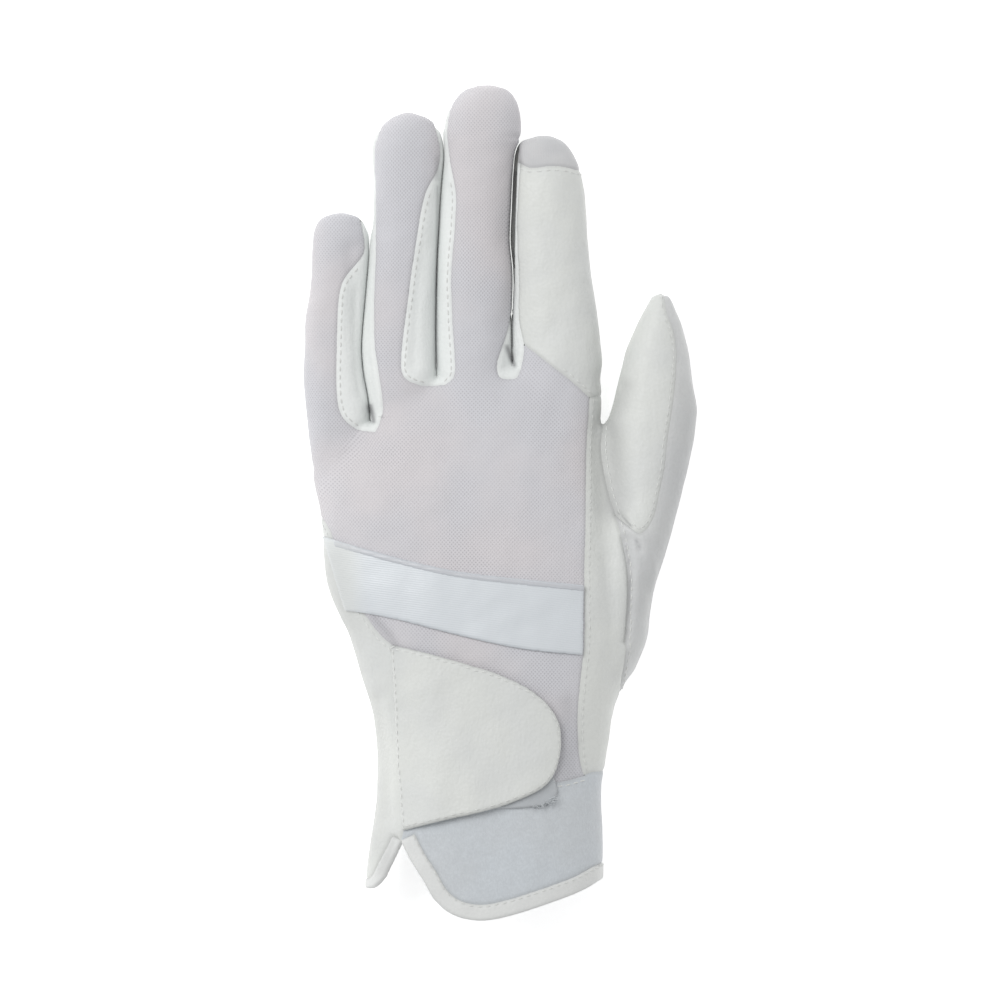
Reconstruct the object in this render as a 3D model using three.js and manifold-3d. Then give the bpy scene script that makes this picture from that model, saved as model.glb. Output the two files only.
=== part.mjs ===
// A left hand riding glove, lying palm down as it does when it is put down filled out.
// X runs across the hand towards the thumb, Y towards the fingertips and Z up, in millimetres.
// The origin is in the middle of the palm, on the surface that the glove lies on.
//
// The glove is one hollow shell: a hand tube, four finger tubes and a thumb tube, joined outside
// and joined again inside, one wall further in. The panels are cut out of that shell along the seams,
// which are drawn in plan, and the strap, tab and bindings lie on it.
import * as THREE from "three";
import { mergeVertices } from "three/addons/utils/BufferGeometryUtils.js";
import Module from "manifold-3d";

const wasm = await Module();
wasm.setup();

// Walls, seams and layers
const WALL = 1.2; // leather and spacer mesh
const SEAM_GAP = 0.3; // between two panels, and between layers that lie on each other
const PALM_EDGE_Z = 6.5; // height of the seam between the palm leather and what is above it
const FINGER_GAP = 0.7; // between neighbouring fingers

// Hand and cuff
const KNUCKLE_Y = 38.5; // the furthest point of the web between the fingers
const KNUCKLE_X = -13.6; // the middle of the knuckles, as the thumb takes up the other side
const HAND_LENGTH = 157; // from there to the end of the cuff flap
const HAND_THICKNESS = 31;
const WRIST_WIDTH = 65;
const WRIST_THICKNESS = 35;
const WRIST_SHIFT = 11.3; // the wrist's middle lies towards the thumb
const WEB_DROP = 15.8; // how fast the web line falls back towards the little finger
const WEB_PEAK = 0.45; // where it is highest, as a share of half the knuckle width
const WEB_FADE = 0.3; // the hand's sections follow the web line for this share of its length
const FLAP_OVERHANG = 21.5; // the flap reaches this far past the palm's edge
const BINDING_WIDTH = 4.6;
const BINDING_PROUD = 0.5; // the folded binding stands this far out of the wall

// Strap, tab and the patch that the tab fastens to
const STRAP_THICKNESS = 1.0;
const STRAP_TRIM_WIDTH = 2.4;
const TRIM_PROUD = 0.5;
const PATCH_THICKNESS = 0.8;
const TAB_THICKNESS = 1.3;

// A finger's root is rootDepth behind the knuckle line, inside the hand, and its tip is length
// further on and lean to the side. Rows run along that line: left and right are shares of half the
// width, and top and base are shares of the thickness.
const FINGERS = {
  little: {
    length: 65.4,
    width: 18.1,
    thickness: 15,
    rootDepth: 21.3,
    lean: 0.6,
    rows: [
      { along: -0.2, left: -0.55, right: 0.7, top: 0.8, base: 0.1 },
      { along: -0.09, left: -0.8, right: 0.85, top: 1.0, base: -0.03 },
      { along: 0.04, left: -0.93, right: 0.98, top: 1.06, base: -0.07 },
      { along: 0.18, left: -1.03, right: 0.92, top: 1.08, base: -0.07 },
      { along: 0.3, left: -1.1, right: 0.76, top: 1.05, base: -0.07 },
      { along: 0.41, left: -1.06, right: 0.73, top: 1.03, base: -0.07 },
      { along: 0.52, left: -1.02, right: 0.77, top: 1.02, base: -0.07 },
      { along: 0.68, left: -0.88, right: 0.86, top: 1.0, base: -0.07 },
      { along: 0.82, left: -0.86, right: 0.92, top: 0.98, base: -0.06 },
      { along: 0.9, left: -0.82, right: 0.91, top: 0.94, base: -0.05 },
      { along: 0.955, left: -0.7, right: 0.8, top: 0.85, base: 0.02 },
      { along: 0.985, left: -0.5, right: 0.6, top: 0.74, base: 0.14 },
      { along: 1, left: -0.22, right: 0.3, top: 0.58, base: 0.32 },
    ],
  },
  ring: {
    length: 90.1,
    width: 19.6,
    thickness: 16.5,
    rootDepth: 17,
    lean: 1,
    rows: [
      { along: -0.1, left: -0.6, right: 0.6, top: 0.8, base: 0.1 },
      { along: 0.02, left: -0.9, right: 0.9, top: 1.04, base: -0.07 },
      { along: 0.13, left: -1.08, right: 0.89, top: 1.08, base: -0.07 },
      { along: 0.25, left: -1.25, right: 0.87, top: 1.05, base: -0.07 },
      { along: 0.4, left: -1.16, right: 0.855, top: 1.02, base: -0.07 },
      { along: 0.52, left: -1.07, right: 0.87, top: 1.01, base: -0.07 },
      { along: 0.65, left: -1.0, right: 0.92, top: 1.0, base: -0.07 },
      { along: 0.78, left: -0.99, right: 0.965, top: 1.0, base: -0.06 },
      { along: 0.88, left: -1.06, right: 1.03, top: 0.97, base: -0.05 },
      { along: 0.93, left: -0.95, right: 0.94, top: 0.91, base: 0 },
      { along: 0.968, left: -0.69, right: 0.74, top: 0.82, base: 0.07 },
      { along: 0.99, left: -0.4, right: 0.44, top: 0.7, base: 0.2 },
      { along: 1, left: -0.16, right: 0.16, top: 0.56, base: 0.36 },
    ],
  },
  middle: {
    length: 93.9,
    width: 21.6,
    thickness: 17.5,
    rootDepth: 12.7,
    lean: 2.6,
    rows: [
      { along: -0.1, left: -0.6, right: 0.6, top: 0.8, base: 0.1 },
      { along: 0, left: -1.0, right: 0.9, top: 1.02, base: -0.07 },
      { along: 0.13, left: -1.12, right: 0.83, top: 1.06, base: -0.07 },
      { along: 0.28, left: -1.17, right: 0.78, top: 1.03, base: -0.07 },
      { along: 0.42, left: -1.18, right: 0.78, top: 1.01, base: -0.07 },
      { along: 0.53, left: -1.16, right: 0.68, top: 1.0, base: -0.07 },
      { along: 0.65, left: -1.13, right: 0.69, top: 1.0, base: -0.07 },
      { along: 0.77, left: -1.06, right: 0.7, top: 1.0, base: -0.06 },
      { along: 0.81, left: -1.09, right: 0.77, top: 1.0, base: -0.06 },
      { along: 0.86, left: -1.12, right: 0.92, top: 0.98, base: -0.06 },
      { along: 0.9, left: -1.08, right: 0.91, top: 0.95, base: -0.04 },
      { along: 0.94, left: -0.94, right: 0.83, top: 0.89, base: 0 },
      { along: 0.972, left: -0.75, right: 0.68, top: 0.79, base: 0.08 },
      { along: 0.992, left: -0.5, right: 0.44, top: 0.67, base: 0.22 },
      { along: 1, left: -0.24, right: 0.16, top: 0.54, base: 0.36 },
    ],
  },
  index: {
    length: 79.2,
    width: 23.6,
    thickness: 16.5,
    rootDepth: 12.7,
    lean: -2.9,
    rows: [
      { along: -0.1, left: -0.6, right: 0.6, top: 0.8, base: 0.1 },
      { along: 0.01, left: -1.04, right: 0.98, top: 1.06, base: -0.07 },
      { along: 0.1, left: -1.07, right: 1.02, top: 1.1, base: -0.07 },
      { along: 0.18, left: -1.08, right: 1.09, top: 1.09, base: -0.07 },
      { along: 0.27, left: -1.065, right: 1.06, top: 1.05, base: -0.07 },
      { along: 0.33, left: -1.06, right: 1.025, top: 1.03, base: -0.07 },
      { along: 0.47, left: -0.99, right: 0.94, top: 1.0, base: -0.07 },
      { along: 0.62, left: -1.03, right: 0.86, top: 0.99, base: -0.07 },
      { along: 0.76, left: -0.96, right: 0.82, top: 0.97, base: -0.06 },
      { along: 0.84, left: -0.91, right: 0.76, top: 0.94, base: -0.05 },
      { along: 0.9, left: -0.85, right: 0.67, top: 0.89, base: -0.03 },
      { along: 0.95, left: -0.79, right: 0.5, top: 0.81, base: 0.04 },
      { along: 0.982, left: -0.64, right: 0.32, top: 0.71, base: 0.15 },
      { along: 1, left: -0.3, right: 0.1, top: 0.56, base: 0.3 },
    ],
  },
};
// The thumb's root is on the hand's thumb side, rootDepth behind the knuckle line and inset from
// half the knuckle width.
const THUMB = {
  length: 105.7,
  width: 23,
  thickness: 19,
  rootDepth: 84.7,
  inset: 0.4,
  lean: 16.9,
  rows: [
    { along: -0.13, left: -0.8, right: 0.36, top: 0.85, base: 0.3 },
    { along: -0.065, left: -0.8, right: 0.66, top: 1.05, base: 0.08 },
    { along: -0.02, left: -0.8, right: 0.9, top: 1.14, base: -0.02 },
    { along: 0.065, left: -0.8, right: 1.05, top: 1.2, base: -0.08 },
    { along: 0.13, left: -0.7, right: 1.02, top: 1.24, base: -0.08 },
    { along: 0.18, left: -0.66, right: 1.02, top: 1.25, base: -0.08 },
    { along: 0.25, left: -0.65, right: 1.12, top: 1.24, base: -0.08 },
    { along: 0.33, left: -0.66, right: 1.24, top: 1.2, base: -0.07 },
    { along: 0.43, left: -0.74, right: 1.325, top: 1.12, base: -0.06 },
    { along: 0.52, left: -0.83, right: 1.385, top: 1.06, base: -0.06 },
    { along: 0.6, left: -0.9, right: 1.43, top: 1.02, base: -0.06 },
    { along: 0.67, left: -0.77, right: 1.41, top: 1.0, base: -0.06 },
    { along: 0.75, left: -0.71, right: 1.2, top: 0.97, base: -0.06 },
    { along: 0.835, left: -0.63, right: 0.97, top: 0.92, base: -0.04 },
    { along: 0.915, left: -0.46, right: 0.65, top: 0.85, base: 0.02 },
    { along: 0.965, left: -0.3, right: 0.39, top: 0.74, base: 0.14 },
    { along: 0.992, left: -0.2, right: 0.22, top: 0.64, base: 0.26 },
    { along: 1, left: -0.1, right: 0.1, top: 0.55, base: 0.36 },
  ],
};
// The hand's rows run down from the knuckle line, as shares of its length. wrist says how far the
// width, thickness and middle have gone over from the knuckles' to the wrist's; left and right are
// shares of that half width, and top and base of that thickness.
const HAND_ROWS = [
  { down: 0, wrist: 0, left: -0.88, right: 0.95, top: 0.4, base: 0.14 },
  { down: 0.008, wrist: 0, left: -0.92, right: 0.975, top: 0.49, base: 0.03 },
  { down: 0.024, wrist: 0, left: -0.935, right: 0.99, top: 0.56, base: -0.03 },
  { down: 0.062, wrist: 0, left: -0.93, right: 0.985, top: 0.64, base: -0.05 },
  { down: 0.136, wrist: 0, left: -0.92, right: 0.99, top: 0.76, base: -0.05 },
  { down: 0.209, wrist: 0, left: -0.9, right: 1.02, top: 0.86, base: -0.05 },
  { down: 0.282, wrist: 0.1, left: -0.938, right: 1.06, top: 0.93, base: -0.05 },
  { down: 0.355, wrist: 0.2, left: -0.972, right: 1.1, top: 0.98, base: -0.05 },
  { down: 0.429, wrist: 0.4, left: -1.01, right: 1.135, top: 1.0, base: -0.05 },
  { down: 0.502, wrist: 0.65, left: -1.015, right: 1.15, top: 0.99, base: -0.05 },
  { down: 0.575, wrist: 0.82, left: -1.025, right: 1.12, top: 0.97, base: -0.05 },
  { down: 0.648, wrist: 0.95, left: -1.01, right: 1.05, top: 0.96, base: -0.05 },
  { down: 0.722, wrist: 1, left: -1.005, right: 1.0, top: 0.97, base: -0.05 },
  { down: 0.795, wrist: 1, left: -1.025, right: 0.97, top: 0.99, base: -0.05 },
  { down: 0.868, wrist: 1, left: -1.075, right: 0.975, top: 1.0, base: -0.05 },
  { down: 0.93, wrist: 1, left: -1.105, right: 0.975, top: 1.0, base: -0.05 },
  { down: 1.03, wrist: 1, left: -1.12, right: 0.975, top: 1.0, base: -0.05 },
];
const HAND_SIDES = 26;
const FINGER_SIDES = 12;
const THUMB_SIDES = 14;
const HAND_SQUARENESS = 2.5; // 2 is an ellipse, and more is fuller at the corners
const FINGER_SQUARENESS = 2.2;

// Seams on a finger, from the tip towards the web. across is a share of half the finger's width.
const LITTLE_RIGHT = [
  { along: 0.95, across: 0.6 },
  { along: 0.84, across: 0.7 },
  { along: 0.76, across: 0.38 },
  { along: 0.67, across: 0.08 },
  { along: 0.48, across: 0 },
  { along: 0.33, across: -0.02 },
  { along: 0.17, across: 0.02 },
  { along: 0.09, across: 0.24 },
  { along: 0.05, across: 0.65 },
];
const RING_LEFT = [
  { along: 0.94, across: -0.76 },
  { along: 0.88, across: -0.93 },
  { along: 0.78, across: -0.88 },
  { along: 0.65, across: -0.88 },
  { along: 0.58, across: -0.86 },
  { along: 0.54, across: -0.8 },
  { along: 0.48, across: -0.87 },
  { along: 0.38, across: -0.93 },
  { along: 0.26, across: -0.88 },
  { along: 0.18, across: -0.68 },
  { along: 0.05, across: -0.58 },
  { along: -0.02, across: -0.86 },
];
const RING_RIGHT = [
  { along: 0.95, across: 0.7 },
  { along: 0.88, across: 0.9 },
  { along: 0.8, across: 0.84 },
  { along: 0.75, across: 0.52 },
  { along: 0.66, across: 0.38 },
  { along: 0.55, across: 0.24 },
  { along: 0.48, across: 0.16 },
  { along: 0.38, across: 0.06 },
  { along: 0.3, across: -0.04 },
  { along: 0.23, across: -0.1 },
  { along: 0.17, across: -0.1 },
  { along: 0.14, across: 0.12 },
  { along: 0.125, across: 0.55 },
];
const MIDDLE_LEFT = [
  { along: 0.95, across: -0.8 },
  { along: 0.9, across: -0.96 },
  { along: 0.84, across: -0.98 },
  { along: 0.76, across: -0.92 },
  { along: 0.7, across: -0.82 },
  { along: 0.64, across: -0.77 },
  { along: 0.54, across: -0.81 },
  { along: 0.44, across: -0.85 },
  { along: 0.34, across: -0.83 },
  { along: 0.24, across: -0.78 },
  { along: 0.14, across: -0.68 },
  { along: 0.1, across: -0.7 },
  { along: 0.08, across: -0.9 },
];
const MIDDLE_RIGHT = [
  { along: 0.95, across: 0.62 },
  { along: 0.9, across: 0.76 },
  { along: 0.85, across: 0.74 },
  { along: 0.8, across: 0.62 },
  { along: 0.72, across: 0.56 },
  { along: 0.6, across: 0.54 },
  { along: 0.52, across: 0.55 },
  { along: 0.42, across: 0.65 },
  { along: 0.28, across: 0.64 },
  { along: 0.2, across: 0.5 },
  { along: 0.14, across: 0.42 },
  { along: 0.1, across: 0.55 },
  { along: 0.097, across: 0.92 },
];
const INDEX_LEFT = [
  { along: 0.9, across: -0.74 },
  { along: 0.84, across: -0.79 },
  { along: 0.76, across: -0.85 },
  { along: 0.62, across: -0.91 },
  { along: 0.47, across: -0.87 },
  { along: 0.33, across: -0.93 },
  { along: 0.24, across: -0.82 },
  { along: 0.17, across: -0.88 },
  { along: 0.12, across: -1.0 },
];
// The edge of the cap on the index finger's tip, from the middle finger's side outwards.
const INDEX_CAP = [
  { along: 0.9, across: -0.74 },
  { along: 0.88, across: -0.49 },
  { along: 0.89, across: 0.12 },
  { along: 0.874, across: 0.74 },
  { along: 0.865, across: 1.3 },
];
// The ridge seam of the thumb, from past its tip down to the seam at its root.
const THUMB_RIDGE = [
  { along: 1.05, across: 0.02 },
  { along: 0.955, across: 0.2 },
  { along: 0.89, across: 0.53 },
  { along: 0.82, across: 0.68 },
  { along: 0.71, across: 0.75 },
  { along: 0.61, across: 0.75 },
  { along: 0.52, across: 0.8 },
  { along: 0.45, across: 0.76 },
  { along: 0.4, across: 0.74 },
  { along: 0.36, across: 0.6 },
  { along: 0.345, across: 0.4 },
  { along: 0.37, across: 0.09 },
];

// Seams on the hand. side is a share of the hand's half width there, -1 at the little finger's
// edge and 1 at the thumb's, and down is a share of the hand's length.
const ULNAR_SEAM = [
  { side: -1.3, down: 0.2 },
  { side: -0.985, down: 0.282 },
  { side: -0.92, down: 0.328 },
  { side: -0.855, down: 0.41 },
  { side: -0.81, down: 0.46 },
  { side: -0.755, down: 0.498 },
  { side: -0.66, down: 0.525 },
  { side: -0.71, down: 0.612 },
  { side: -0.767, down: 0.731 },
];
const VENT = [
  { side: -0.767, down: 0.731 },
  { side: -0.74, down: 0.864 },
];
const CUFF_TOP = [
  { side: -0.767, down: 0.731 },
  { side: -0.18, down: 0.75 },
  { side: 0.53, down: 0.76 },
  { side: 0.83, down: 0.747 },
];
const CUFF_TOP_SIDE = [
  { side: 0.83, down: 0.747 },
  { side: 0.92, down: 0.74 },
  { side: 1.25, down: 0.742 },
];
const MESH_RIGHT = [
  { side: 0.83, down: 0.747 },
  { side: 0.765, down: 0.712 },
  { side: 0.7, down: 0.612 },
  { side: 0.715, down: 0.52 },
  { side: 0.765, down: 0.392 },
  { side: 0.88, down: 0.209 },
  { side: 0.935, down: 0.099 },
  { side: 0.945, down: 0.058 },
];
const INDEX_SEAM = [
  { side: 0.945, down: 0.058 },
  { side: 0.73, down: 0.011 },
];
// From the web between the index finger and the thumb down to the wrist. Here along runs as on the
// thumb, from its root to its tip.
const THUMB_SEAM = [
  { side: 1.06, along: 0.724 },
  { side: 1.03, along: 0.641 },
  { side: 0.995, along: 0.598 },
  { side: 1.04, along: 0.54 },
  { side: 1.0, along: 0.437 },
  { side: 1.04, along: 0.4 },
  { side: 1.06, along: 0.328 },
  { side: 1.075, along: 0.259 },
  { side: 1.06, along: 0.164 },
  { side: 1.04, along: 0.056 },
  { side: 1.03, along: -0.03 },
  { side: 1.06, along: -0.12 },
  { side: 1.35, along: -0.21 },
];
const THUMB_SEAM_RIDGE_JOINT = 5; // the ridge seam meets the thumb seam at this row
// Past the web, up between the index finger and the thumb.
const THUMB_CLEFT = [
  { side: 1.06, along: 0.724 },
  { side: 1.095, along: 0.846 },
  { side: 1.15, along: 1.01 },
  { side: 1.15, along: 1.84 },
];
const FLAP_EDGE = [
  { side: -0.74, down: 0.864 },
  { side: -0.66, down: 0.892 },
  { side: -0.59, down: 0.914 },
  { side: -0.515, down: 0.936 },
  { side: -0.46, down: 0.958 },
  { side: -0.38, down: 0.98 },
  { side: -0.245, down: 1.0 },
  { side: -0.04, down: 1.009 },
  { side: 0.186, down: 1.002 },
  { side: 0.52, down: 0.98 },
  { side: 0.81, down: 0.958 },
  { side: 0.965, down: 0.936 },
  { side: 1.0, down: 0.914 },
  { side: 1.3, down: 0.9 },
];
const TAIL_EDGE = [
  { side: -0.74, down: 0.864 },
  { side: -0.79, down: 0.892 },
  { side: -0.83, down: 0.914 },
  { side: -0.87, down: 0.936 },
  { side: -0.945, down: 0.95 },
  { side: -1.02, down: 0.942 },
  { side: -1.3, down: 0.93 },
];
const STRAP_TOP = [
  { side: -0.914, down: 0.32 },
  { side: -0.6, down: 0.342 },
  { side: -0.17, down: 0.372 },
  { side: 0.21, down: 0.386 },
  { side: 0.752, down: 0.401 },
];
const STRAP_BOTTOM = [
  { side: -0.833, down: 0.451 },
  { side: -0.6, down: 0.462 },
  { side: -0.3, down: 0.484 },
  { side: -0.1, down: 0.497 },
  { side: 0.27, down: 0.517 },
  { side: 0.7, down: 0.527 },
];
const TAB_OUTLINE = [
  { side: -0.7, down: 0.508 },
  { side: -0.42, down: 0.525 },
  { side: -0.23, down: 0.539 },
  { side: 0.03, down: 0.558 },
  { side: 0.26, down: 0.583 },
  { side: 0.425, down: 0.612 },
  { side: 0.513, down: 0.637 },
  { side: 0.562, down: 0.661 },
  { side: 0.578, down: 0.689 },
  { side: 0.567, down: 0.724 },
  { side: 0.51, down: 0.756 },
  { side: 0.373, down: 0.778 },
  { side: 0.14, down: 0.799 },
  { side: -0.13, down: 0.815 },
  { side: -0.4, down: 0.828 },
  { side: -0.72, down: 0.846 },
];
const PATCH_OUTLINE = [
  { side: -0.3, down: 0.66 },
  { side: 0.38, down: 0.66 },
  { side: 0.49, down: 0.7 },
  { side: 0.53, down: 0.745 },
  { side: 0.61, down: 0.773 },
  { side: 0.61, down: 0.797 },
  { side: 0.42, down: 0.803 },
  { side: -0.3, down: 0.803 },
];
const TAB_RISE = { from: -0.72, to: -0.42 }; // the tab climbs from the wall onto the patch

// The value of a column at a place between the rows of a table.
function columnAt(rows, place, column, where) {
  let i = 1;
  while (i < rows.length - 1 && rows[i][place] < where) i++;
  const [a, b] = [rows[i - 1], rows[i]];
  const share = THREE.MathUtils.clamp((where - a[place]) / (b[place] - a[place]), 0, 1);
  return THREE.MathUtils.lerp(a[column], b[column], share);
}

// A closed ring round a section, from its edges. It is flattened where it lies on the floor.
function ring({ left, right, top, base }, sides, squareness, floor) {
  const points = [];
  for (let i = 0; i < sides; i++) {
    const angle = (2 * Math.PI * (i + 0.5)) / sides;
    const [c, s] = [Math.cos(angle), Math.sin(angle)];
    const across = Math.sign(c) * Math.abs(c) ** (2 / squareness);
    const up = Math.sign(s) * Math.abs(s) ** (2 / squareness);
    const x = (left + right) / 2 + (across * (right - left)) / 2;
    const z = (top + base) / 2 + (up * (top - base)) / 2;
    points.push(new THREE.Vector3(x, 0, Math.max(z, floor)));
  }
  return points;
}

// A closed solid through rings of equally many points.
function loft(rings) {
  const sides = rings[0].length;
  const positions = rings.flat();
  const triangles = [];
  for (let r = 0; r + 1 < rings.length; r++) {
    for (let i = 0; i < sides; i++) {
      const [a, b] = [r * sides + i, r * sides + ((i + 1) % sides)];
      triangles.push(a, b, a + sides, b, b + sides, a + sides);
    }
  }
  // Each end is closed by strips between the points above and the points below them.
  const last = (rings.length - 1) * sides;
  for (let i = 0; i + 1 < sides / 2; i++) {
    const [a, b, c, d] = [i, i + 1, sides - 2 - i, sides - 1 - i];
    triangles.push(a, c, b, a, d, c);
    triangles.push(last + a, last + b, last + c, last + a, last + c, last + d);
  }
  const geometry = new THREE.BufferGeometry().setFromPoints(positions).setIndex(triangles);
  return solidOf(geometry);
}

// A closed mesh as a solid for cutting, with its faces turned outwards.
function solidOf(geometry) {
  const bare = new THREE.BufferGeometry()
    .setAttribute("position", geometry.getAttribute("position"))
    .setIndex(geometry.index);
  const merged = mergeVertices(bare, 1e-4);
  const vertProperties = new Float32Array(merged.getAttribute("position").array);
  const triVerts = new Uint32Array(merged.index.array);
  const made = new wasm.Manifold(new wasm.Mesh({ numProp: 3, vertProperties, triVerts }));
  if (made.volume() > 0) return made;
  return new wasm.Manifold(
    new wasm.Mesh({ numProp: 3, vertProperties, triVerts: triVerts.reverse() }),
  );
}

const fingers = Object.values(FINGERS);
const knuckleWidth = fingers.reduce((sum, f) => sum + f.width, 0) + 3 * FINGER_GAP;

// Where a finger's axis starts across the hand: the fingers stand side by side on the knuckles.
let edge = KNUCKLE_X - knuckleWidth / 2;
for (const finger of fingers) {
  finger.rootX = edge + finger.width / 2;
  finger.rootY = KNUCKLE_Y - finger.rootDepth;
  edge += finger.width + FINGER_GAP;
}
THUMB.rootX = KNUCKLE_X + knuckleWidth / 2 + THUMB.inset;
THUMB.rootY = KNUCKLE_Y - THUMB.rootDepth;

const axisX = (finger, along) => finger.rootX + finger.lean * along;

// A finger's hollow or filled tube, grown outwards by an offset, or shrunk by a negative one.
function fingerTube(finger, sides, offset) {
  const rings = finger.rows.map((row) => {
    const x = axisX(finger, row.along);
    const half = finger.width / 2;
    const section = {
      left: x + half * row.left - offset,
      right: x + half * row.right + offset,
      top: finger.thickness * row.top + offset,
      base: finger.thickness * row.base - offset,
    };
    const tight = Math.min(section.right - section.left, section.top - section.base);
    const y = finger.rootY + row.along * (finger.length + offset);
    if (tight < 0.6) return null;
    return ring(section, sides, FINGER_SQUARENESS, -offset).map((p) => p.setY(y));
  });
  return loft(rings.filter(Boolean));
}

// The hand's left and right edges, top and base at a place down its length.
function handSection(down, offset = 0) {
  const at = (column) => columnAt(HAND_ROWS, "down", column, down);
  const wrist = at("wrist");
  const half = THREE.MathUtils.lerp(knuckleWidth, WRIST_WIDTH, wrist) / 2;
  const thickness = THREE.MathUtils.lerp(HAND_THICKNESS, WRIST_THICKNESS, wrist);
  const mid = KNUCKLE_X + WRIST_SHIFT * wrist;
  return {
    left: mid + half * at("left") - offset,
    right: mid + half * at("right") + offset,
    top: thickness * at("top") + offset,
    base: thickness * at("base") - offset,
  };
}

// How far the web line has fallen back at a place across the hand.
function webDrop(x, down) {
  const share = WEB_PEAK - (2 * (x - KNUCKLE_X)) / knuckleWidth;
  return WEB_DROP * share ** 2 * Math.max(0, 1 - down / WEB_FADE);
}

function handTube(offset, openEnd = 0, lift = 0) {
  const rings = HAND_ROWS.map(({ down }) => {
    const section = handSection(down, offset);
    const nose = offset * Math.max(0, 1 - down / WEB_FADE);
    const end = down > 1 ? openEnd : 0;
    const mid = (section.left + section.right) / 2;
    const half = (section.right - section.left) / 2;
    return ring(section, HAND_SIDES, HAND_SQUARENESS, -offset).map((p) => {
      const rise = THREE.MathUtils.smoothstep((p.x - mid) / half, TAB_RISE.from, TAB_RISE.to);
      p.y = KNUCKLE_Y + nose - down * HAND_LENGTH - webDrop(p.x, down) - end;
      if (p.z > section.top / 2) p.z += lift * rise;
      return p;
    });
  });
  return loft(rings);
}

const union = (solids) => solids.reduce((sum, s) => sum.add(s));
const tubes = (offset, openEnd) =>
  union([
    handTube(offset, openEnd),
    ...fingers.map((f) => fingerTube(f, FINGER_SIDES, offset)),
    fingerTube(THUMB, THUMB_SIDES, offset),
  ]);

// Plan points from the seam tables.
const onHand = ({ side, down }) => {
  const { left, right } = handSection(down);
  const x = (left + right) / 2 + (side * (right - left)) / 2;
  return new THREE.Vector2(x, KNUCKLE_Y - down * HAND_LENGTH);
};
const onFinger =
  (finger) =>
  ({ along, across }) =>
    new THREE.Vector2(
      axisX(finger, along) + (across * finger.width) / 2,
      finger.rootY + along * finger.length,
    );
const onThumbEdge = ({ side, along }) => {
  const down = (THUMB.rootDepth - along * THUMB.length) / HAND_LENGTH;
  return onHand({ side, down });
};
const hand = (rows) => rows.map(onHand);
const thumbEdge = (rows) => rows.map(onThumbEdge);
const seam = (finger, rows) => rows.map(onFinger(finger));
const back = (points) => [...points].reverse();

// A point in the middle of the gap on the left of a finger.
function inGap(finger, along) {
  const across = columnAt(finger.rows, "along", "left", along);
  const point = onFinger(finger)({ along, across });
  point.x -= FINGER_GAP / 2;
  return point;
}

// A plan polygon with every edge moved inwards.
function inset(polygon, distance) {
  const points = THREE.ShapeUtils.isClockWise(polygon) ? back(polygon) : polygon;
  return points.map((point, i) => {
    const before = points[(i + points.length - 1) % points.length];
    const after = points[(i + 1) % points.length];
    const [d1, d2] = [point.clone().sub(before), after.clone().sub(point)];
    const n1 = new THREE.Vector2(-d1.y, d1.x).normalize();
    const n2 = new THREE.Vector2(-d2.y, d2.x).normalize();
    const mitre = n1.clone().add(n2).divideScalar(Math.max(0.3, 1 + n1.dot(n2)));
    return point.clone().addScaledVector(mitre, distance);
  });
}

// A plan line moved to its left by a distance.
function beside(line, distance) {
  return line.map((point, i) => {
    const before = line[Math.max(0, i - 1)];
    const after = line[Math.min(line.length - 1, i + 1)];
    const along = after.clone().sub(before).normalize();
    return new THREE.Vector2(point.x - along.y * distance, point.y + along.x * distance);
  });
}

const FAR = 200; // past every solid, for cutters
const OVERRUN = 8; // how far a cutting tube runs past the open end
const LOW = -5;

// The upright block over a plan polygon, kept half a seam gap inside it.
function block(polygon, low = LOW, high = FAR, margin = SEAM_GAP / 2) {
  const unique = polygon.filter(
    (p, i) => p.distanceTo(polygon[(i + 1) % polygon.length]) > 1e-3,
  );
  const shape = new THREE.Shape(inset(unique, margin));
  const geometry = new THREE.ExtrudeGeometry(shape, { depth: high - low, bevelEnabled: false });
  geometry.translate(0, 0, low);
  geometry.deleteAttribute("normal");
  geometry.deleteAttribute("uv");
  return solidOf(mergeVertices(geometry, 1e-4));
}

const ABOVE_PALM = PALM_EDGE_Z + SEAM_GAP / 2;
const BELOW_EDGE = PALM_EDGE_Z - SEAM_GAP / 2;
const upper = (polygon) => block(polygon, ABOVE_PALM);

// The biggest piece of a cut, without crumbs that a cutter's corner leaves.
function largest(solid) {
  const pieces = solid.decompose();
  return pieces.reduce((best, p) => (p.volume() > best.volume() ? p : best));
}

const { little, ring: ringFinger, middle, index } = FINGERS;
const outer = tubes(0, 0);
const inner = tubes(-WALL, OVERRUN);
const shell = outer.subtract(inner);

// The back: mesh over the hand and over three fingers, between the strips of the finger sides.
const past = (finger, across) => onFinger(finger)({ along: 1.08, across });
const beyondUlnar = [
  onHand({ side: -1.3, down: 0.2 }),
  onFinger(little)({ along: 0, across: -1.8 }),
  past(little, -1.8),
];
const indexJoint = onFinger(index)(INDEX_LEFT[6]);
const backRegion = [
  ...beyondUlnar,
  past(little, 0.4),
  ...seam(little, LITTLE_RIGHT),
  ...back(seam(ringFinger, RING_LEFT)),
  past(ringFinger, -0.5),
  past(ringFinger, 0.5),
  ...seam(ringFinger, RING_RIGHT),
  ...back(seam(middle, MIDDLE_LEFT)),
  past(middle, -0.5),
  past(middle, 0.5),
  ...seam(middle, MIDDLE_RIGHT),
  onFinger(index)(INDEX_LEFT[8]),
  onFinger(index)(INDEX_LEFT[7]),
  indexJoint,
  ...back(hand(INDEX_SEAM)),
  ...back(hand(MESH_RIGHT)),
  ...back(hand(CUFF_TOP)),
  ...back(hand(ULNAR_SEAM)),
];

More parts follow.
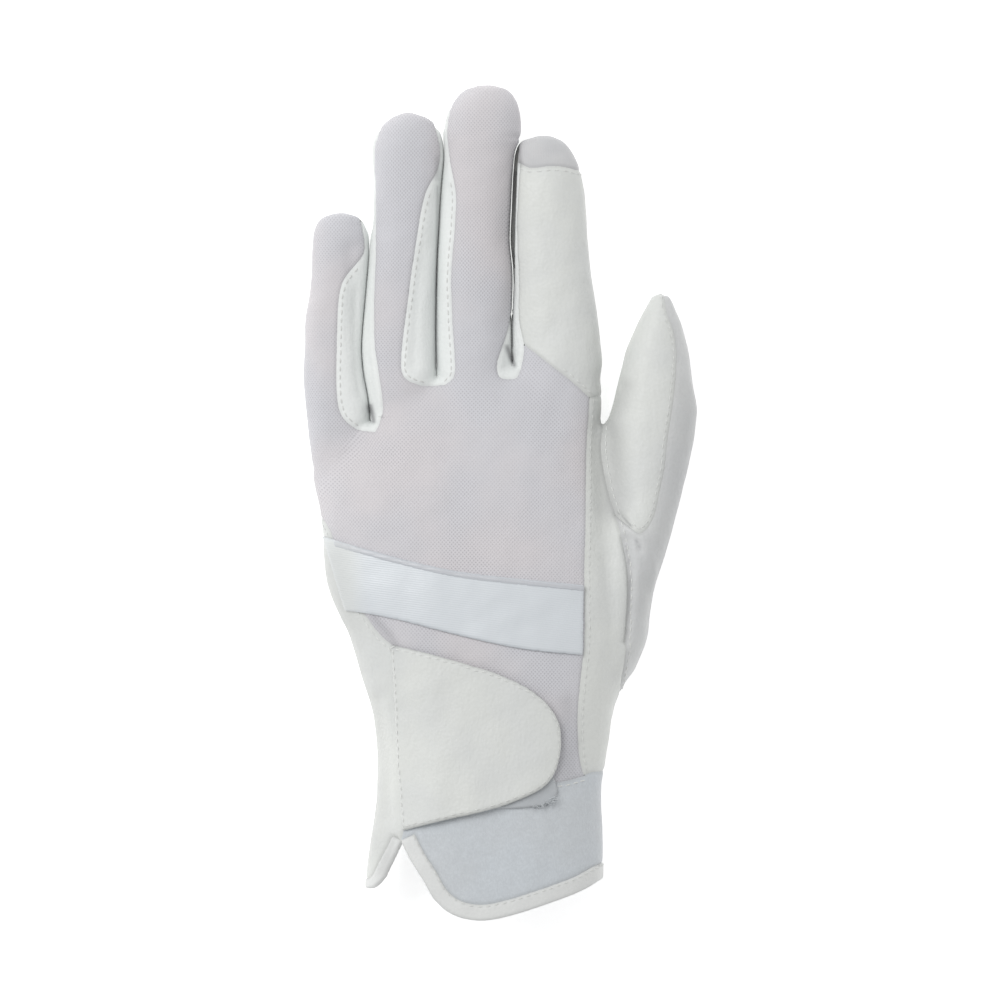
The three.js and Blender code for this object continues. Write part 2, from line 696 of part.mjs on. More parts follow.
// The strips between the fingers cover both facing sides and the web between them.
const besideIndexTip = [
  inGap(index, 0.9),
  inGap(index, 0.95),
  onFinger(index)({ along: 0.985, across: -0.7 }),
  onFinger(index)({ along: 1.06, across: -0.6 }),
];
const littleRingRegion = [
  ...seam(little, LITTLE_RIGHT),
  ...back(seam(ringFinger, RING_LEFT)),
  onFinger(ringFinger)({ along: 0.94, across: -1.4 }),
  onFinger(ringFinger)({ along: 0.71, across: -1.4 }),
];
const ringMiddleRegion = [
  ...seam(ringFinger, RING_RIGHT),
  ...back(seam(middle, MIDDLE_LEFT)),
  onFinger(middle)({ along: 0.95, across: -1.25 }),
  onFinger(middle)({ along: 0.92, across: -1.2 }),
];
const middleIndexRegion = [
  ...seam(middle, MIDDLE_RIGHT),
  ...back(seam(index, INDEX_LEFT)),
  ...besideIndexTip,
  onFinger(middle)({ along: 0.95, across: 1.3 }),
];

const radialTop = [onHand(INDEX_SEAM[0]), onThumbEdge(THUMB_SEAM[0])];
const indexTipRegion = [
  ...back(seam(index, INDEX_CAP)),
  ...besideIndexTip,
  onFinger(index)({ along: 1.08, across: 1.3 }),
];
const indexBackRegion = [
  ...seam(index, INDEX_CAP),
  ...back(radialTop),
  ...hand(INDEX_SEAM),
  ...back(seam(index, INDEX_LEFT.slice(0, 7))),
];
const radialRegion = [
  ...back(hand(MESH_RIGHT)),
  ...hand(CUFF_TOP_SIDE),
  ...back(thumbEdge(THUMB_SEAM)),
  ...back(radialTop),
];

const seamToRidge = THUMB_SEAM.slice(0, THUMB_SEAM_RIDGE_JOINT + 1);
const ridgeToWrist = THUMB_SEAM.slice(THUMB_SEAM_RIDGE_JOINT);
const ridge = seam(THUMB, THUMB_RIDGE);
const cleft = back(thumbEdge(THUMB_CLEFT));
const beyondThumb = onThumbEdge({ side: 2.2, along: -0.21 });
const aboveThumb = onThumbEdge({ side: 2.2, along: 1.84 });
const thumbRegion = [...thumbEdge(THUMB_SEAM), beyondThumb, aboveThumb, ...cleft];
const thumbBackRegion = [
  ...thumbEdge(seamToRidge),
  ...back(ridge),
  onThumbEdge({ side: 1.5, along: 1.84 }),
  ...cleft,
];
const thumbSideRegion = [
  ...thumbEdge(ridgeToWrist),
  beyondThumb,
  onThumbEdge({ side: 2.2, along: 1.25 }),
  ...ridge,
];

// The cuff: a flap from the thumb's side, whose free edge is bound, and the palm's edge below it.
const flapEdge = hand(FLAP_EDGE);
const flapInner = beside(flapEdge, BINDING_WIDTH);
const flapRegion = [
  ...back(flapEdge),
  ...back(hand(VENT)),
  ...hand(CUFF_TOP),
  ...hand(CUFF_TOP_SIDE),
];
const flapBindingRegion = [...flapEdge, ...back(flapInner)];
const tailEdge = hand(TAIL_EDGE);
const tailInner = beside(tailEdge, -BINDING_WIDTH * 0.6);
const ulnarRegion = [
  ...hand(ULNAR_SEAM),
  ...hand(VENT),
  ...tailEdge,
  onHand({ side: -1.3, down: 0.6 }),
];
const tailBindingRegion = [...tailEdge, ...back(tailInner)];
const palmEnd = 1 - FLAP_OVERHANG / HAND_LENGTH;
const palmEndLine = hand([
  { side: -1.6, down: palmEnd },
  { side: 1.6, down: palmEnd },
]);
const palmHemLine = beside(palmEndLine, BINDING_WIDTH);
const palmRegion = [
  ...thumbEdge(THUMB_SEAM),
  ...back(palmHemLine),
  onHand({ side: -1.8, down: -0.7 }),
  ...cleft,
];

// The strap lies on the back and is sewn into the thumb side's seam; the tab lies on the cuff.
const strapTop = hand(STRAP_TOP);
const strapRegion = [...back(strapTop), ...hand(STRAP_BOTTOM)];
const trimRegion = [...back(strapTop), ...beside(strapTop, -STRAP_TRIM_WIDTH)];
const tabRegion = hand(TAB_OUTLINE);
const patchRegion = hand(PATCH_OUTLINE);

// A layer over the hand, between two distances from its wall.
const layer = (from, to) => handTube(to, OVERRUN).subtract(handTube(from, 2 * OVERRUN));
const ON_WALL = SEAM_GAP;
const strapLayer = layer(ON_WALL, ON_WALL + STRAP_THICKNESS);
const trimLayer = layer(
  ON_WALL + STRAP_THICKNESS + SEAM_GAP,
  ON_WALL + STRAP_THICKNESS + SEAM_GAP + TRIM_PROUD,
);
const bindingLayer = layer(-WALL, BINDING_PROUD);

// The tab starts on the wall and climbs over the patch.
const tabLift = PATCH_THICKNESS + SEAM_GAP;
const tabLayer = handTube(ON_WALL + TAB_THICKNESS, OVERRUN, tabLift).subtract(
  handTube(ON_WALL, 2 * OVERRUN, tabLift),
);

const FLAP_LOW = ABOVE_PALM;
const sheets = {
  back_mesh: shell.intersect(upper(backRegion)),
  palm: shell.intersect(block(palmRegion, LOW, BELOW_EDGE)),
  index_back: shell.intersect(upper(indexBackRegion)),
  index_tip: shell.intersect(upper(indexTipRegion)),
  side_strip_little_ring: shell.intersect(upper(littleRingRegion)),
  side_strip_ring_middle: shell.intersect(upper(ringMiddleRegion)),
  side_strip_middle_index: shell.intersect(upper(middleIndexRegion)),
  radial_panel: shell.intersect(upper(radialRegion)),
  thumb_back: shell.intersect(upper(thumbBackRegion)),
  thumb_palm: shell.intersect(
    block(thumbSideRegion).add(block(thumbRegion, LOW, BELOW_EDGE)),
  ),
  ulnar_panel: shell
    .intersect(upper(ulnarRegion))
    .subtract(block(tailBindingRegion, LOW, FAR, -SEAM_GAP / 2)),
  cuff_flap: shell
    .intersect(upper(flapRegion))
    .subtract(block(flapBindingRegion, LOW, FAR, -SEAM_GAP / 2)),
  cuff_binding: bindingLayer.intersect(block(flapBindingRegion, FLAP_LOW)),
  tail_binding: bindingLayer.intersect(block(tailBindingRegion, FLAP_LOW)),
  palm_binding: bindingLayer.intersect(
    block([...palmEndLine, ...back(palmHemLine)], 0, BELOW_EDGE),
  ),
  knuckle_strap: strapLayer.intersect(upper(strapRegion)),
  strap_trim: trimLayer.intersect(upper(trimRegion)),
  closure_tab: tabLayer.intersect(upper(tabRegion)),
  loop_patch: layer(ON_WALL, ON_WALL + PATCH_THICKNESS).intersect(upper(patchRegion)),
};

const FINISH = {
  mesh: { color: 0xc9c7cc, roughness: 0.8 },
  leather: { color: 0xdbdedb, roughness: 0.55 },
  stretch: { color: 0xc2c3c5, roughness: 0.75 },
  elastic: { color: 0xd2d8dc, roughness: 0.45 },
  loop: { color: 0xc4c8cb, roughness: 0.9 },
};
const FINISH_OF = {
  back_mesh: "mesh",
  index_tip: "stretch",
  knuckle_strap: "elastic",
  cuff_flap: "loop",
  loop_patch: "loop",
};

const glove = new THREE.Group();
for (const [name, sheet] of Object.entries(sheets)) {
  const { vertProperties, triVerts } = largest(sheet).getMesh();
  const geometry = new THREE.BufferGeometry()
    .setAttribute("position", new THREE.BufferAttribute(vertProperties, 3))
    .setIndex(new THREE.BufferAttribute(triVerts, 1));
  geometry.computeVertexNormals();
  const material = new THREE.MeshStandardMaterial(FINISH[FINISH_OF[name] ?? "leather"]);
  const piece = new THREE.Mesh(geometry, material);
  piece.name = name;
  glove.add(piece);
}

export default glove;
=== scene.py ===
"""The looks of a left hand riding glove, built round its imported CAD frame.

The outer skin of the glove is one smooth surface through the same sections as the CAD tubes. It is
cut into the sewn panels along their seams, rolled into each seam, and given its wall. The strap,
tab, patch and bindings lie on that skin. Sizes are in millimetres until the meshes are made.
"""

import math

import bpy
import numpy as np
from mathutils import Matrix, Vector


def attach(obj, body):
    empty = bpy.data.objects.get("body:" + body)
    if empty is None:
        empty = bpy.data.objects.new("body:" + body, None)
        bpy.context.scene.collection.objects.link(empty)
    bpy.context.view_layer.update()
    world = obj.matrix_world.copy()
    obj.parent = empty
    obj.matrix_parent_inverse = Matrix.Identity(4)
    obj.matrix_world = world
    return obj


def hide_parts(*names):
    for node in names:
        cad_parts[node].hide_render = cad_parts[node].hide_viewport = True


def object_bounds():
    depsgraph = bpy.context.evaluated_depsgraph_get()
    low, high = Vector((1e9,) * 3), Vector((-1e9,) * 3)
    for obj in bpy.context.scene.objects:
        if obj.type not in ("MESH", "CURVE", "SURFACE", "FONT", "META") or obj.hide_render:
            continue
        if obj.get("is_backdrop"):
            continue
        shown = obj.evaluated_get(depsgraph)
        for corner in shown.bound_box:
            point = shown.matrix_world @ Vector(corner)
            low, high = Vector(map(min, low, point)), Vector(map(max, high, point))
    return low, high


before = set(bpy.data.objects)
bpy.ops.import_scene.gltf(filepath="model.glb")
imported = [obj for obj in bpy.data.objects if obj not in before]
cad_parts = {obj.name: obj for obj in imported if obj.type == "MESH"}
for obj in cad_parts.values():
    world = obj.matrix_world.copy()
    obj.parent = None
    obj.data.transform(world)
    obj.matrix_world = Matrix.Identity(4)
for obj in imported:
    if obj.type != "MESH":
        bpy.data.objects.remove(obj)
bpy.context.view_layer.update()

import openvdb
from mathutils import Vector
from mathutils.bvhtree import BVHTree
from mathutils.kdtree import KDTree

MM = 0.001
VOXEL = 0.74
WALL = 1.2
PALM_EDGE_Z = 6.5
FINGER_GAP = 0.7
SLIT = 0.02  # the least gap between two fingers that touch
SPREAD = 3.6  # neighbouring fingers are this much further apart while the skin is meshed
SPREAD_RAMP = 5.0
KNUCKLE_X, KNUCKLE_Y = -13.6, 38.5
HAND_LENGTH = 157.0
HAND_THICKNESS, WRIST_THICKNESS = 31.0, 35.0
WRIST_WIDTH, WRIST_SHIFT = 65.0, 11.3
WEB_DROP, WEB_PEAK, WEB_FADE = 15.8, 0.45, 0.3
HAND_SQUARENESS, FINGER_SQUARENESS = 2.5, 2.2
FLAP_OVERHANG = 21.5
BINDING_WIDTH = 4.6
TRIM_WIDTH = 1.8
PIXEL, PHOTO_MIDDLE = 0.288, 499.6  # a pixel of the photograph, and the pixel in its middle
FLOOR_GAP, SKIN_GAP = 0.01, 0.02  # no point of a piece, and none of the skin, lies lower
SEAM_STEPS = 6  # points on a seam for each row of its table
HAND = 5  # the hand's number after the four fingers and the thumb

# Columns: along, left, right, top, base.
FINGERS = {
    "little": dict(
        length=65.4, width=18.1, thickness=15.0, root_depth=21.3, lean=0.6, web=23.0,
        rows=[
            (-0.2, -0.55, 0.7, 0.8, 0.1), (-0.09, -0.8, 0.85, 1.0, -0.03),
            (0.04, -0.93, 0.98, 1.06, -0.07), (0.18, -1.03, 0.92, 1.08, -0.07),
            (0.3, -1.1, 0.76, 1.05, -0.07), (0.41, -1.06, 0.73, 1.03, -0.07),
            (0.52, -1.02, 0.77, 1.02, -0.07), (0.68, -0.88, 0.86, 1.0, -0.07),
            (0.82, -0.86, 0.92, 0.98, -0.06), (0.9, -0.82, 0.91, 0.94, -0.05),
            (0.955, -0.7, 0.8, 0.85, 0.02), (0.985, -0.5, 0.6, 0.74, 0.14),
            (1.0, -0.22, 0.3, 0.58, 0.32),
        ],
    ),
    "ring": dict(
        length=90.1, width=19.6, thickness=16.5, root_depth=17.0, lean=1.0, web=37.0,
        rows=[
            (-0.1, -0.6, 0.6, 0.8, 0.1), (0.02, -0.9, 0.9, 1.04, -0.07),
            (0.13, -1.08, 0.89, 1.08, -0.07), (0.25, -1.25, 0.87, 1.05, -0.07),
            (0.4, -1.16, 0.855, 1.02, -0.07), (0.52, -1.07, 0.87, 1.01, -0.07),
            (0.65, -1.0, 0.92, 1.0, -0.07), (0.78, -0.99, 0.965, 1.0, -0.06),
            (0.88, -1.06, 1.03, 0.97, -0.05), (0.93, -0.95, 0.94, 0.91, 0.0),
            (0.968, -0.69, 0.74, 0.82, 0.07), (0.99, -0.4, 0.44, 0.7, 0.2),
            (1.0, -0.16, 0.16, 0.56, 0.36),
        ],
    ),
    "middle": dict(
        length=93.9, width=21.6, thickness=17.5, root_depth=12.7, lean=2.6, web=38.5,
        rows=[
            (-0.1, -0.6, 0.6, 0.8, 0.1), (0.0, -1.0, 0.9, 1.02, -0.07),
            (0.13, -1.12, 0.83, 1.06, -0.07), (0.28, -1.17, 0.78, 1.03, -0.07),
            (0.42, -1.18, 0.78, 1.01, -0.07), (0.53, -1.16, 0.68, 1.0, -0.07),
            (0.65, -1.13, 0.69, 1.0, -0.07), (0.77, -1.06, 0.7, 1.0, -0.06),
            (0.81, -1.09, 0.77, 1.0, -0.06), (0.86, -1.12, 0.92, 0.98, -0.06),
            (0.9, -1.08, 0.91, 0.95, -0.04), (0.94, -0.94, 0.83, 0.89, 0.0),
            (0.972, -0.75, 0.68, 0.79, 0.08), (0.992, -0.5, 0.44, 0.67, 0.22),
            (1.0, -0.24, 0.16, 0.54, 0.36),
        ],
    ),
    "index": dict(
        length=79.2, width=23.6, thickness=16.5, root_depth=12.7, lean=-2.9, web=None,
        rows=[
            (-0.1, -0.6, 0.6, 0.8, 0.1), (0.01, -1.04, 0.98, 1.06, -0.07),
            (0.1, -1.07, 1.02, 1.1, -0.07), (0.18, -1.08, 1.09, 1.09, -0.07),
            (0.27, -1.065, 1.06, 1.05, -0.07), (0.33, -1.06, 1.025, 1.03, -0.07),
            (0.47, -0.99, 0.94, 1.0, -0.07), (0.62, -1.03, 0.86, 0.99, -0.07),
            (0.76, -0.96, 0.82, 0.97, -0.06), (0.84, -0.91, 0.76, 0.94, -0.05),
            (0.9, -0.85, 0.67, 0.89, -0.03), (0.95, -0.79, 0.5, 0.81, 0.04),
            (0.982, -0.64, 0.32, 0.71, 0.15), (1.0, -0.3, 0.1, 0.56, 0.3),
        ],
    ),
    "thumb": dict(
        length=105.7, width=23.0, thickness=19.0, root_depth=84.7, lean=16.9, web=None,
        rows=[
            (-0.13, -0.8, 0.36, 0.85, 0.3), (-0.065, -0.8, 0.66, 1.05, 0.08),
            (-0.02, -0.8, 0.9, 1.14, -0.02), (0.065, -0.8, 1.05, 1.2, -0.08),
            (0.13, -0.7, 1.02, 1.24, -0.08), (0.18, -0.66, 1.02, 1.25, -0.08),
            (0.25, -0.65, 1.12, 1.24, -0.08), (0.33, -0.66, 1.24, 1.2, -0.07),
            (0.43, -0.74, 1.325, 1.12, -0.06), (0.52, -0.83, 1.385, 1.06, -0.06),
            (0.6, -0.9, 1.43, 1.02, -0.06), (0.67, -0.77, 1.41, 1.0, -0.06),
            (0.75, -0.71, 1.2, 0.97, -0.06), (0.835, -0.63, 0.97, 0.92, -0.04),
            (0.915, -0.46, 0.65, 0.85, 0.02), (0.965, -0.3, 0.39, 0.74, 0.14),
            (0.992, -0.2, 0.22, 0.64, 0.26), (1.0, -0.1, 0.1, 0.55, 0.36),
        ],
    ),
}
THUMB_INSET = 0.4
# Columns: down, wrist, left, right, top, base.
HAND_ROWS = [
    (0.0, 0.0, -0.88, 0.95, 0.4, 0.14), (0.008, 0.0, -0.92, 0.975, 0.49, 0.03),
    (0.024, 0.0, -0.935, 0.99, 0.56, -0.03), (0.062, 0.0, -0.93, 0.985, 0.64, -0.05),
    (0.136, 0.0, -0.92, 0.99, 0.76, -0.05), (0.209, 0.0, -0.9, 1.02, 0.86, -0.05),
    (0.282, 0.1, -0.938, 1.06, 0.93, -0.05), (0.355, 0.2, -0.972, 1.1, 0.98, -0.05),
    (0.429, 0.4, -1.01, 1.135, 1.0, -0.05), (0.502, 0.65, -1.015, 1.15, 0.99, -0.05),
    (0.575, 0.82, -1.025, 1.12, 0.97, -0.05), (0.648, 0.95, -1.01, 1.05, 0.96, -0.05),
    (0.722, 1.0, -1.005, 1.0, 0.97, -0.05), (0.795, 1.0, -1.025, 0.97, 0.99, -0.05),
    (0.868, 1.0, -1.075, 0.975, 1.0, -0.05), (0.93, 1.0, -1.105, 0.975, 1.0, -0.05),
    (1.03, 1.0, -1.12, 0.975, 1.0, -0.05),
]

# Seams on a finger, from its tip towards the web: along, and across as a share of half its width.
LITTLE_RIGHT = [
    (0.95, 0.75), (0.84, 0.88), (0.77, 0.6), (0.7, 0.16), (0.6, 0.02), (0.48, 0.0), (0.33, -0.02),
    (0.17, 0.02), (0.09, 0.24), (0.05, 0.65),
]
RING_LEFT = [
    (0.94, -0.86), (0.88, -1.02), (0.78, -0.95), (0.65, -0.94), (0.58, -0.94), (0.54, -0.93),
    (0.48, -0.94), (0.38, -0.95), (0.26, -0.93), (0.18, -0.8), (0.05, -0.64), (-0.02, -0.86),
]
RING_RIGHT = [
    (0.95, 0.82), (0.88, 1.0), (0.81, 0.9), (0.75, 0.58), (0.66, 0.4), (0.55, 0.26),
    (0.48, 0.16), (0.38, 0.06), (0.3, -0.04), (0.23, -0.1), (0.17, -0.1), (0.14, 0.12),
    (0.125, 0.55),
]
MIDDLE_LEFT = [
    (0.95, -0.92), (0.9, -1.05), (0.84, -1.06), (0.76, -0.96), (0.7, -0.84), (0.64, -0.78),
    (0.54, -0.81), (0.44, -0.85), (0.34, -0.83), (0.24, -0.78), (0.14, -0.68), (0.1, -0.7),
    (0.08, -0.9),
]
MIDDLE_RIGHT = [
    (0.95, 0.84), (0.9, 0.93), (0.85, 0.91), (0.8, 0.86), (0.72, 0.83), (0.6, 0.82),
    (0.52, 0.82), (0.42, 0.84), (0.28, 0.8), (0.2, 0.64), (0.14, 0.47), (0.1, 0.55),
    (0.097, 0.92),
]
INDEX_LEFT = [
    (0.9, -0.74), (0.84, -0.79), (0.76, -0.85), (0.62, -0.91), (0.47, -0.87), (0.33, -0.93),
    (0.24, -0.82), (0.17, -0.88), (0.12, -1.0),
]
INDEX_CAP = [(0.9, -0.74), (0.88, -0.49), (0.89, 0.12), (0.874, 0.74), (0.865, 1.3)]
THUMB_RIDGE = [
    (1.05, 0.02), (0.955, 0.2), (0.89, 0.53), (0.82, 0.68), (0.71, 0.75), (0.61, 0.75),
    (0.52, 0.8), (0.45, 0.76), (0.4, 0.74), (0.36, 0.6), (0.345, 0.4), (0.37, 0.09),
]
# Seams on the hand: side as a share of half its width there, and down its length.
ULNAR_SEAM = [
    (-1.3, 0.2), (-0.985, 0.282), (-0.92, 0.328), (-0.855, 0.41), (-0.81, 0.46),
    (-0.755, 0.498), (-0.66, 0.525), (-0.66, 0.612), (-0.66, 0.731),
]
VENT = [(-0.66, 0.731), (-0.68, 0.8), (-0.74, 0.864)]
CUFF_TOP = [(-0.66, 0.731), (-0.18, 0.75), (0.53, 0.76), (0.83, 0.747)]
CUFF_TOP_SIDE = [(0.83, 0.747), (0.92, 0.74), (1.25, 0.742)]
MESH_RIGHT = [
    (0.83, 0.747), (0.765, 0.712), (0.7, 0.612), (0.715, 0.52), (0.765, 0.392), (0.88, 0.209),
    (0.935, 0.099), (0.945, 0.058),
]
INDEX_SEAM = [(0.945, 0.058), (0.73, 0.011)]
FLAP_EDGE = [
    (-0.74, 0.864), (-0.66, 0.892), (-0.59, 0.914), (-0.515, 0.936), (-0.46, 0.958),
    (-0.38, 0.98), (-0.245, 1.0), (-0.04, 1.009), (0.186, 1.002), (0.52, 0.98), (0.81, 0.958),
    (0.93, 0.945), (1.02, 0.937), (1.3, 0.93),
]
TAIL_EDGE = [
    (-0.74, 0.864), (-0.79, 0.892), (-0.83, 0.914), (-0.87, 0.936), (-0.935, 0.952),
    (-1.05, 0.955), (-1.3, 0.95),
]
STRAP_TOP = [
    (-0.985, 0.312), (-0.88, 0.32), (-0.6, 0.342), (-0.17, 0.372), (0.21, 0.386), (0.752, 0.401),
]
STRAP_BOTTOM = [
    (-0.93, 0.446), (-0.8, 0.451), (-0.6, 0.462), (-0.3, 0.484), (-0.1, 0.497), (0.27, 0.517),
    (0.7, 0.527),
]
TAB_TOP = [
    (-0.7, 0.508), (-0.42, 0.525), (-0.23, 0.539), (0.03, 0.558), (0.26, 0.583),
    (0.425, 0.612), (0.513, 0.637), (0.562, 0.661), (0.578, 0.689),
]
TAB_BOTTOM = [
    (-0.72, 0.846), (-0.4, 0.828), (-0.13, 0.815), (0.14, 0.799), (0.373, 0.778),
    (0.51, 0.756), (0.567, 0.724), (0.578, 0.689),
]
PATCH_OUTLINE = [
    (-0.3, 0.66), (0.38, 0.66), (0.47, 0.7), (0.51, 0.735), (0.57, 0.757), (0.595, 0.776),
    (0.56, 0.793), (0.45, 0.801), (0.2, 0.805), (-0.3, 0.805),
]
# From the web down to the wrist. Here along runs as on the thumb.
THUMB_SEAM = [
    (1.06, 0.724), (1.035, 0.65), (1.015, 0.6), (1.01, 0.54), (1.02, 0.45), (1.04, 0.4),
    (1.06, 0.328), (1.075, 0.259), (1.06, 0.164), (1.04, 0.056), (1.03, -0.03),
    (1.06, -0.12), (1.35, -0.21),
]
RIDGE_JOINT = 5
THUMB_CLEFT = [(1.06, 0.724), (1.095, 0.846), (1.15, 1.01), (1.15, 1.84)]


def column(rows, number):
    """A monotone cubic through one column of a table, as a function of its first column."""
    places = np.array([r[0] for r in rows], float)
    values = np.array([r[number] for r in rows], float)
    step = np.diff(places)
    slope = np.diff(values) / step
    tangent = np.zeros_like(values)
    both = slope[:-1] * slope[1:] > 0
    mean = 2 * slope[:-1] * slope[1:] / np.where(both, slope[:-1] + slope[1:], 1)
    tangent[1:-1] = np.where(both, mean, 0)
    tangent[0], tangent[-1] = slope[0], slope[-1]

    def at(place):
        p = np.clip(place, places[0], places[-1])
        i = np.clip(np.searchsorted(places, p) - 1, 0, len(step) - 1)
        t = (p - places[i]) / step[i]
        a, b = values[i], values[i + 1]
        ta, tb = tangent[i] * step[i], tangent[i + 1] * step[i]
        return (
            a * (2 * t**3 - 3 * t**2 + 1) + ta * (t**3 - 2 * t**2 + t)
            + b * (3 * t**2 - 2 * t**3) + tb * (t**3 - t**2)
        )

    return at


def smoothstep(x, low, high):
    """0 up to low and 1 from high on, with a smooth way between."""
    t = np.clip((x - low) / (high - low), 0, 1)
    return t * t * (3 - 2 * t)


ORDER = ["little", "ring", "middle", "index"]
knuckle_width = sum(FINGERS[name]["width"] for name in ORDER) + 3 * FINGER_GAP
edge = KNUCKLE_X - knuckle_width / 2
for name, finger in FINGERS.items():
    if name == "thumb":
        finger["root_x"] = KNUCKLE_X + knuckle_width / 2 + THUMB_INSET
    else:
        finger["root_x"] = edge + finger["width"] / 2
        edge += finger["width"] + FINGER_GAP
    finger["root_y"] = KNUCKLE_Y - finger["root_depth"]
    finger["columns"] = [column(finger["rows"], i) for i in range(1, 5)]
HAND_COLUMNS = [column(HAND_ROWS, i) for i in range(1, 6)]


def finger_section(finger, y):
    """Left, right, top and base of a finger at y."""
    along = (y - finger["root_y"]) / finger["length"]
    x = finger["root_x"] + finger["lean"] * along
    left, right, top, base = (c(along) for c in finger["columns"])
    half, thick = finger["width"] / 2, finger["thickness"]
    return x + half * left, x + half * right, thick * top, thick * base


def hand_section(down):
    """Left, right, top and base of the hand at a share down its length."""
    wrist, left, right, top, base = (c(down) for c in HAND_COLUMNS)
    half = (knuckle_width + (WRIST_WIDTH - knuckle_width) * wrist) / 2
    thick = HAND_THICKNESS + (WRIST_THICKNESS - HAND_THICKNESS) * wrist
    mid = KNUCKLE_X + WRIST_SHIFT * wrist
    return mid + half * left, mid + half * right, thick * top, thick * base


def hand_down(x, y):
    """How far down the hand a plan point is. The sections near the knuckles follow the web line."""
    share = WEB_PEAK - 2 * (np.clip(x, -60, 40) - KNUCKLE_X) / knuckle_width
    drop = WEB_DROP * share**2
    near = (KNUCKLE_Y - drop - y) / (HAND_LENGTH - drop / WEB_FADE)
    far = (KNUCKLE_Y - y) / HAND_LENGTH
    return np.where(near < WEB_FADE, near, far)


def ring_value(x, z, section, squareness):
    """1 on the section's ring, less inside it and more outside."""
    left, right, top, base = section
    u = np.abs((x - (left + right) / 2) / ((right - left) / 2))
    v = np.abs((z - (top + base) / 2) / ((top - base) / 2))
    return (u**squareness + v**squareness) ** (1 / squareness)


def smooth_min(a, b, reach):
    """The lesser of two fields, rounded over a reach where they meet."""
    h = np.maximum(reach - np.abs(a - b), 0) / reach
    return np.minimum(a, b) - h * h * reach / 4


def gap_open(name, y):
    """How far the gap on the thumb's side of a finger is opened at y, from 0 at the web."""
    return SPREAD * smoothstep(y, FINGERS[name]["web"], FINGERS[name]["web"] + SPREAD_RAMP)


def spread_of(name, y):
    """How far a finger is moved aside while the skin is meshed."""
    if name == "little":
        return -gap_open("little", y) - gap_open("ring", y)
    if name == "ring":
        return -gap_open("ring", y)
    if name == "index":
        return gap_open("middle", y)
    return np.zeros_like(y)


# How far the forms run into each other: fingers, fingers and hand, thumb, and the underside.
FINGER_BLEND, HAND_BLEND, THUMB_BLEND, FLOOR_BLEND = 1.6, 3.0, 4.5, 2.2
TIP_ROUNDING, KNUCKLE_ROUNDING = 1.2, 1.5
FAR, BAND = 9.0, 3.0  # a field's value away from a form, and the band that is meshed
LOW = np.array([-70.0, -127.0, -3.0])
HIGH = np.array([62.0, 124.0, 39.0])
COUNT = np.ceil((HIGH - LOW) / VOXEL).astype(int)
grid_x, grid_y, grid_z = (LOW[i] + VOXEL * np.arange(COUNT[i]) for i in range(3))


def distance_like(value):
    """A ring value over a block of the grid as a rough distance in millimetres."""
    raw = (value - 1).astype(np.float32)
    across, up = np.gradient(raw, VOXEL, axis=(0, 2))
    return raw / np.maximum(np.hypot(across, up), 0.02)


def tube_field(name):
    """A finger's field over the whole grid, worked out only near the finger."""
    finger = FINGERS[name]
    field = np.full(COUNT, FAR, np.float32)
    y_low = finger["root_y"] + finger["rows"][0][0] * finger["length"]
    y_high = finger["root_y"] + finger["length"]
    rows = np.flatnonzero((grid_y > y_low - BAND) & (grid_y < y_high + BAND))
    y = grid_y[rows]
    section = [s[None, :, None] for s in finger_section(finger, y)]
    spread = spread_of(name, y) if name != "thumb" else np.zeros_like(y)
    x_low = section[0].min() + spread.min() - 2 * BAND
    x_high = section[1].max() + spread.max() + 2 * BAND
    cols = np.flatnonzero((grid_x > x_low) & (grid_x < x_high))
    x = grid_x[cols][:, None, None] - spread[None, :, None]
    value = ring_value(x, grid_z[None, None, :], section, FINGER_SQUARENESS)
    block = distance_like(value)
    ends = np.maximum(y - y_high, y_low - y)[None, :, None]
    block = -smooth_min(-block, -ends.astype(np.float32), TIP_ROUNDING)
    field[cols[0] : cols[-1] + 1, rows[0] : rows[-1] + 1, :] = block
    return field


def hand_field():
    """The hand's field over the whole grid."""
    x, y = grid_x[:, None], grid_y[None, :]
    down = hand_down(x, y)
    section = [s[:, :, None] for s in hand_section(down)]
    value = ring_value(grid_x[:, None, None], grid_z[None, None, :], section, HAND_SQUARENESS)
    field = distance_like(value)
    ends = (-down * HAND_LENGTH)[:, :, None]
    return -smooth_min(-field, -ends.astype(np.float32), KNUCKLE_ROUNDING)


def skin_surface():
    """The closed outer skin as points and quads, with the fingers spread."""
    fingers = tube_field("little")
    for name in ("ring", "middle", "index"):
        fingers = smooth_min(fingers, tube_field(name), FINGER_BLEND)
    field = smooth_min(hand_field(), fingers, HAND_BLEND)
    field = smooth_min(field, tube_field("thumb"), THUMB_BLEND)
    floor = -grid_z[None, None, :].astype(np.float32)
    field = -smooth_min(-field, -np.broadcast_to(floor, field.shape), FLOOR_BLEND)
    field[:, :2, :] = BAND  # the open end is closed here, past every cut
    grid = openvdb.FloatGrid(FAR)
    grid.copyFromArray(np.ascontiguousarray(np.clip(field, -BAND, BAND)))
    points, quads = grid.convertToQuads(0.0)
    return LOW + VOXEL * np.asarray(points, float), np.asarray(quads, np.int64)


